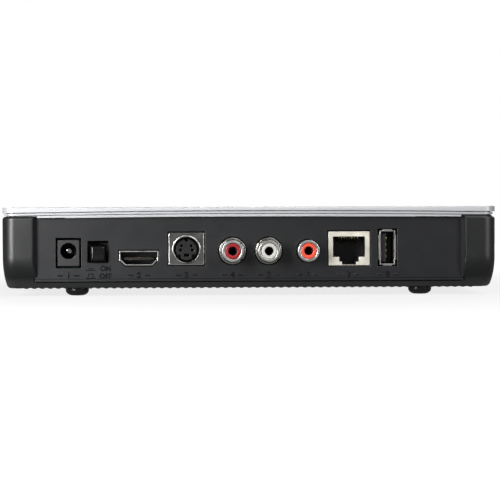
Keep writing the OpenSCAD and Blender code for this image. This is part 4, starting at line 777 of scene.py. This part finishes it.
# ---- Drive cage and dock ----
# The cage is folded from galvanised sheet, whose zinc has set in a coarse, faint spangle. The
# dock board at its end carries the socket that the drive slides onto.

galvanised = metal("galvanised steel sheet", "8f9499", "a9adb1", roughness=0.4, grain_mm=3.5,
                   depth_mm=0.006, swirl=0.08)
finished_copy("drive_cage", galvanised, edge_mm=0.15)
finished_copy("drive_socket", socket_plastic, edge_mm=0.12)


# ---- Hard drive tray ----
# A sled of grey ABS, satin from its mould, with a polished bezel. Its lever is die-cast zinc on a
# steel pin, and its paint sparkles a little in silver grey. Its release button is polished red
# ABS, and a coil of wire pushes it out again.

tray_abs = moulded_plastic("dark grey ABS, satin mould", "2a2c30", "34363a", roughness=0.4,
                           grain_mm=0.5, depth_mm=0.02)
finished_copy("drive_tray", tray_abs, edge_mm=0.2)
finished_copy("tray_bezel", gloss_abs, edge_mm=0.2)
lever_paint = lacquered("silver-grey paint on zinc", "7f8389", "91959b", roughness=0.36,
                        flake_mm=0.3)
finished_copy("tray_lever", lever_paint, edge_mm=0.25, segments=3)
finished_copy("lever_pin", spring_wire, edge_mm=0.1, sharpest=50)
latch_red = moulded_plastic("red ABS, polished", "9c2f29", "b53a33", roughness=0.22, grain_mm=3.0,
                            depth_mm=0.004)
finished_copy("latch_button", latch_red, edge_mm=0.3, segments=3)
fit_spring("latch_coil", "latch_spring", wire=0.3 * MM, turns=4, body="tray")


# ---- Hard drive ----
# A die-cast aluminium body, grainy and dull, with a stainless cover, whose brushing draws each
# reflection out along the drive. The cover is pressed up in two discs, one over the spindle and
# one over the pivot of the arm.

cast_aluminium = metal("aluminium, die-cast", "85898e", "9a9ea2", roughness=0.5, grain_mm=0.5,
                       depth_mm=0.03)
finished_copy("drive_base", cast_aluminium, edge_mm=0.3)
cover_steel = metal("stainless sheet, brushed", "9fa2a5", "aaacaf", roughness=0.4, grain_mm=0.12,
                    stretch=(1, 90, 1), depth_mm=0.004, swirl=0.01)
finished_copy("drive_cover", cover_steel, edge_mm=0.25)
low, high, middle = reach("drive_cover")


def pressed_disc(name, x, y, radius):
    """A disc pressed up out of the cover: its height eases from nothing at its rim to 0.18 mm
    over a band of 3 mm, as half a cosine wave."""
    rise = 0.18 * MM
    band = 3 * MM
    pinhole = 0.001 * MM
    steps_round = 64
    steps = np.linspace(0, 1, 9)
    r = np.concatenate([[pinhole], radius - band + band * steps])
    h = np.concatenate([[rise], rise * (1 + np.cos(np.pi * steps)) / 2])
    a = np.linspace(0, 2 * np.pi, steps_round, endpoint=False)
    points = np.stack([x + r[:, None] * np.cos(a), y + r[:, None] * np.sin(a),
                       np.broadcast_to(high.z + h[:, None], (len(r), steps_round))], 2)
    piece = grid_surface(name, points, cover_steel, closed=(False, True))
    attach(piece, "tray")


pressed_disc("spindle_relief", middle.x, low.y + 38 * MM, radius=24 * MM)
pressed_disc("arm_relief", middle.x + 20 * MM, high.y - 16 * MM, radius=9 * MM)


# ---- Floor, light and camera ----
# A pale table top in a plain studio with a white background. The photographed side is lit by a
# strip lamp at its left, one at its right, a large one above, and a large weak one behind the
# camera. The fifth lamp lights the front, which the main view doesn't see.

floor_half = 3.0
corners = [(x * floor_half, y * floor_half, 0) for x, y in ((-1, -1), (1, -1), (1, 1), (-1, 1))]
floor_mesh = bpy.data.meshes.new("floor")
floor_mesh.from_pydata(corners, [], [(0, 1, 2, 3)])
floor = new_object("floor", floor_mesh)
floor_paint, tree, place = blank_material("white table top")
mirrored_share = 0.15


def white_seen(tree):
    """How much of the white a ray sees: all of it straight or through glass, and a part of it in
    a reflection, because the room on the camera's side is dim."""
    path = add_node(tree, "ShaderNodeLightPath")
    straight = add_node(tree, "ShaderNodeMath", settings={"operation": "MAXIMUM"},
                        links={0: path.outputs["Is Camera Ray"],
                               1: path.outputs["Is Transmission Ray"]})
    mirrored = add_node(tree, "ShaderNodeMath", settings={"operation": "MULTIPLY"},
                        values={1: mirrored_share}, links={0: path.outputs["Is Glossy Ray"]})
    return add_node(tree, "ShaderNodeMath", settings={"operation": "MAXIMUM"},
                    links={0: straight.outputs[0], 1: mirrored.outputs[0]}).outputs[0]


# White beyond 0.4 m from the object's middle, and a little less near it, where its shadow falls: a
# painted shade round the object
reached = add_node(tree, "ShaderNodeVectorMath", settings={"operation": "LENGTH"},
                   links={0: place}).outputs["Value"]
painted_shade_falloff = add_node(tree, "ShaderNodeMapRange",
                  values={"From Min": 0.12, "From Max": 0.4, "To Min": 0.8, "To Max": 1.0},
                  links={"Value": reached}).outputs["Result"]
lift = add_node(tree, "ShaderNodeMath", settings={"operation": "MULTIPLY"},
                links={0: white_seen(tree), 1: painted_shade_falloff})
matt = add_node(tree, "ShaderNodeBsdfDiffuse", values={"Color": linear("606060")})
glow = add_node(tree, "ShaderNodeEmission", values={"Color": linear("ffffff")},
                links={"Strength": lift.outputs[0]})
both = add_node(tree, "ShaderNodeAddShader", links={0: matt.outputs[0], 1: glow.outputs[0]})
add_node(tree, "ShaderNodeOutputMaterial", links={"Surface": both.outputs[0]})
floor_mesh.materials.append(floor_paint)

world = bpy.data.worlds.new("studio")
bpy.context.scene.world = world
world.use_nodes = True
tree = world.node_tree
tree.nodes.clear()
room = add_node(tree, "ShaderNodeBackground", values={"Color": linear("ffffff"), "Strength": 0.02})
white = add_node(tree, "ShaderNodeBackground", values={"Color": linear("ffffff"), "Strength": 1.0})
choice = add_node(tree, "ShaderNodeMixShader",
                  links={0: white_seen(tree), 1: room.outputs[0], 2: white.outputs[0]})
add_node(tree, "ShaderNodeOutputWorld", links={"Surface": choice.outputs[0]})


def lamp(name, place, aim, width, height, watts):
    """A flat soft box, turned towards the point it lights."""
    light = bpy.data.lights.new(name, "AREA")
    light.shape = "RECTANGLE"
    light.size = width
    light.size_y = height
    light.energy = watts
    holder = new_object(name, light)
    holder.location = place
    holder.rotation_euler = (Vector(aim) - Vector(place)).to_track_quat("-Z", "Y").to_euler()


lamp("left soft box", place=(0.31, 0.4, 0.15), aim=(0.05, 0.06, 0.1), width=0.12, height=0.29,
     watts=3.9)
lamp("right soft box", place=(-0.75, 0.72, 0.3), aim=(0, 0.05, 0.02), width=0.2, height=0.4,
     watts=4.6)
lamp("overhead soft box", place=(-0.4, 0.7, 0.9), aim=(-0.05, 0, 0), width=0.8, height=0.5,
     watts=5)
lamp("rear soft box", place=(0.15, 1.5, 0.55), aim=(0, 0.07, 0.02), width=0.7, height=0.5,
     watts=0.5)
lamp("front soft box", place=(-0.4, -0.95, 0.4), aim=(0, 0, 0.02), width=0.9, height=0.5,
     watts=12)

camera = bpy.data.cameras.new("camera")
camera.sensor_width = 36
camera.lens = 126
camera_holder = new_object("camera", camera)
eye = Vector((0.02, 0.747, 0.031))
aim = Vector((0.0, 0.0732, 0.0178))
roll = math.radians(-0.22)
camera_holder.location = eye
facing = (aim - eye).to_track_quat("-Z", "Y").to_matrix()
camera_holder.rotation_euler = (facing @ Matrix.Rotation(roll, 3, "Z")).to_euler()
bpy.context.scene.camera = camera_holder
bpy.context.scene.view_settings.view_transform = "Standard"
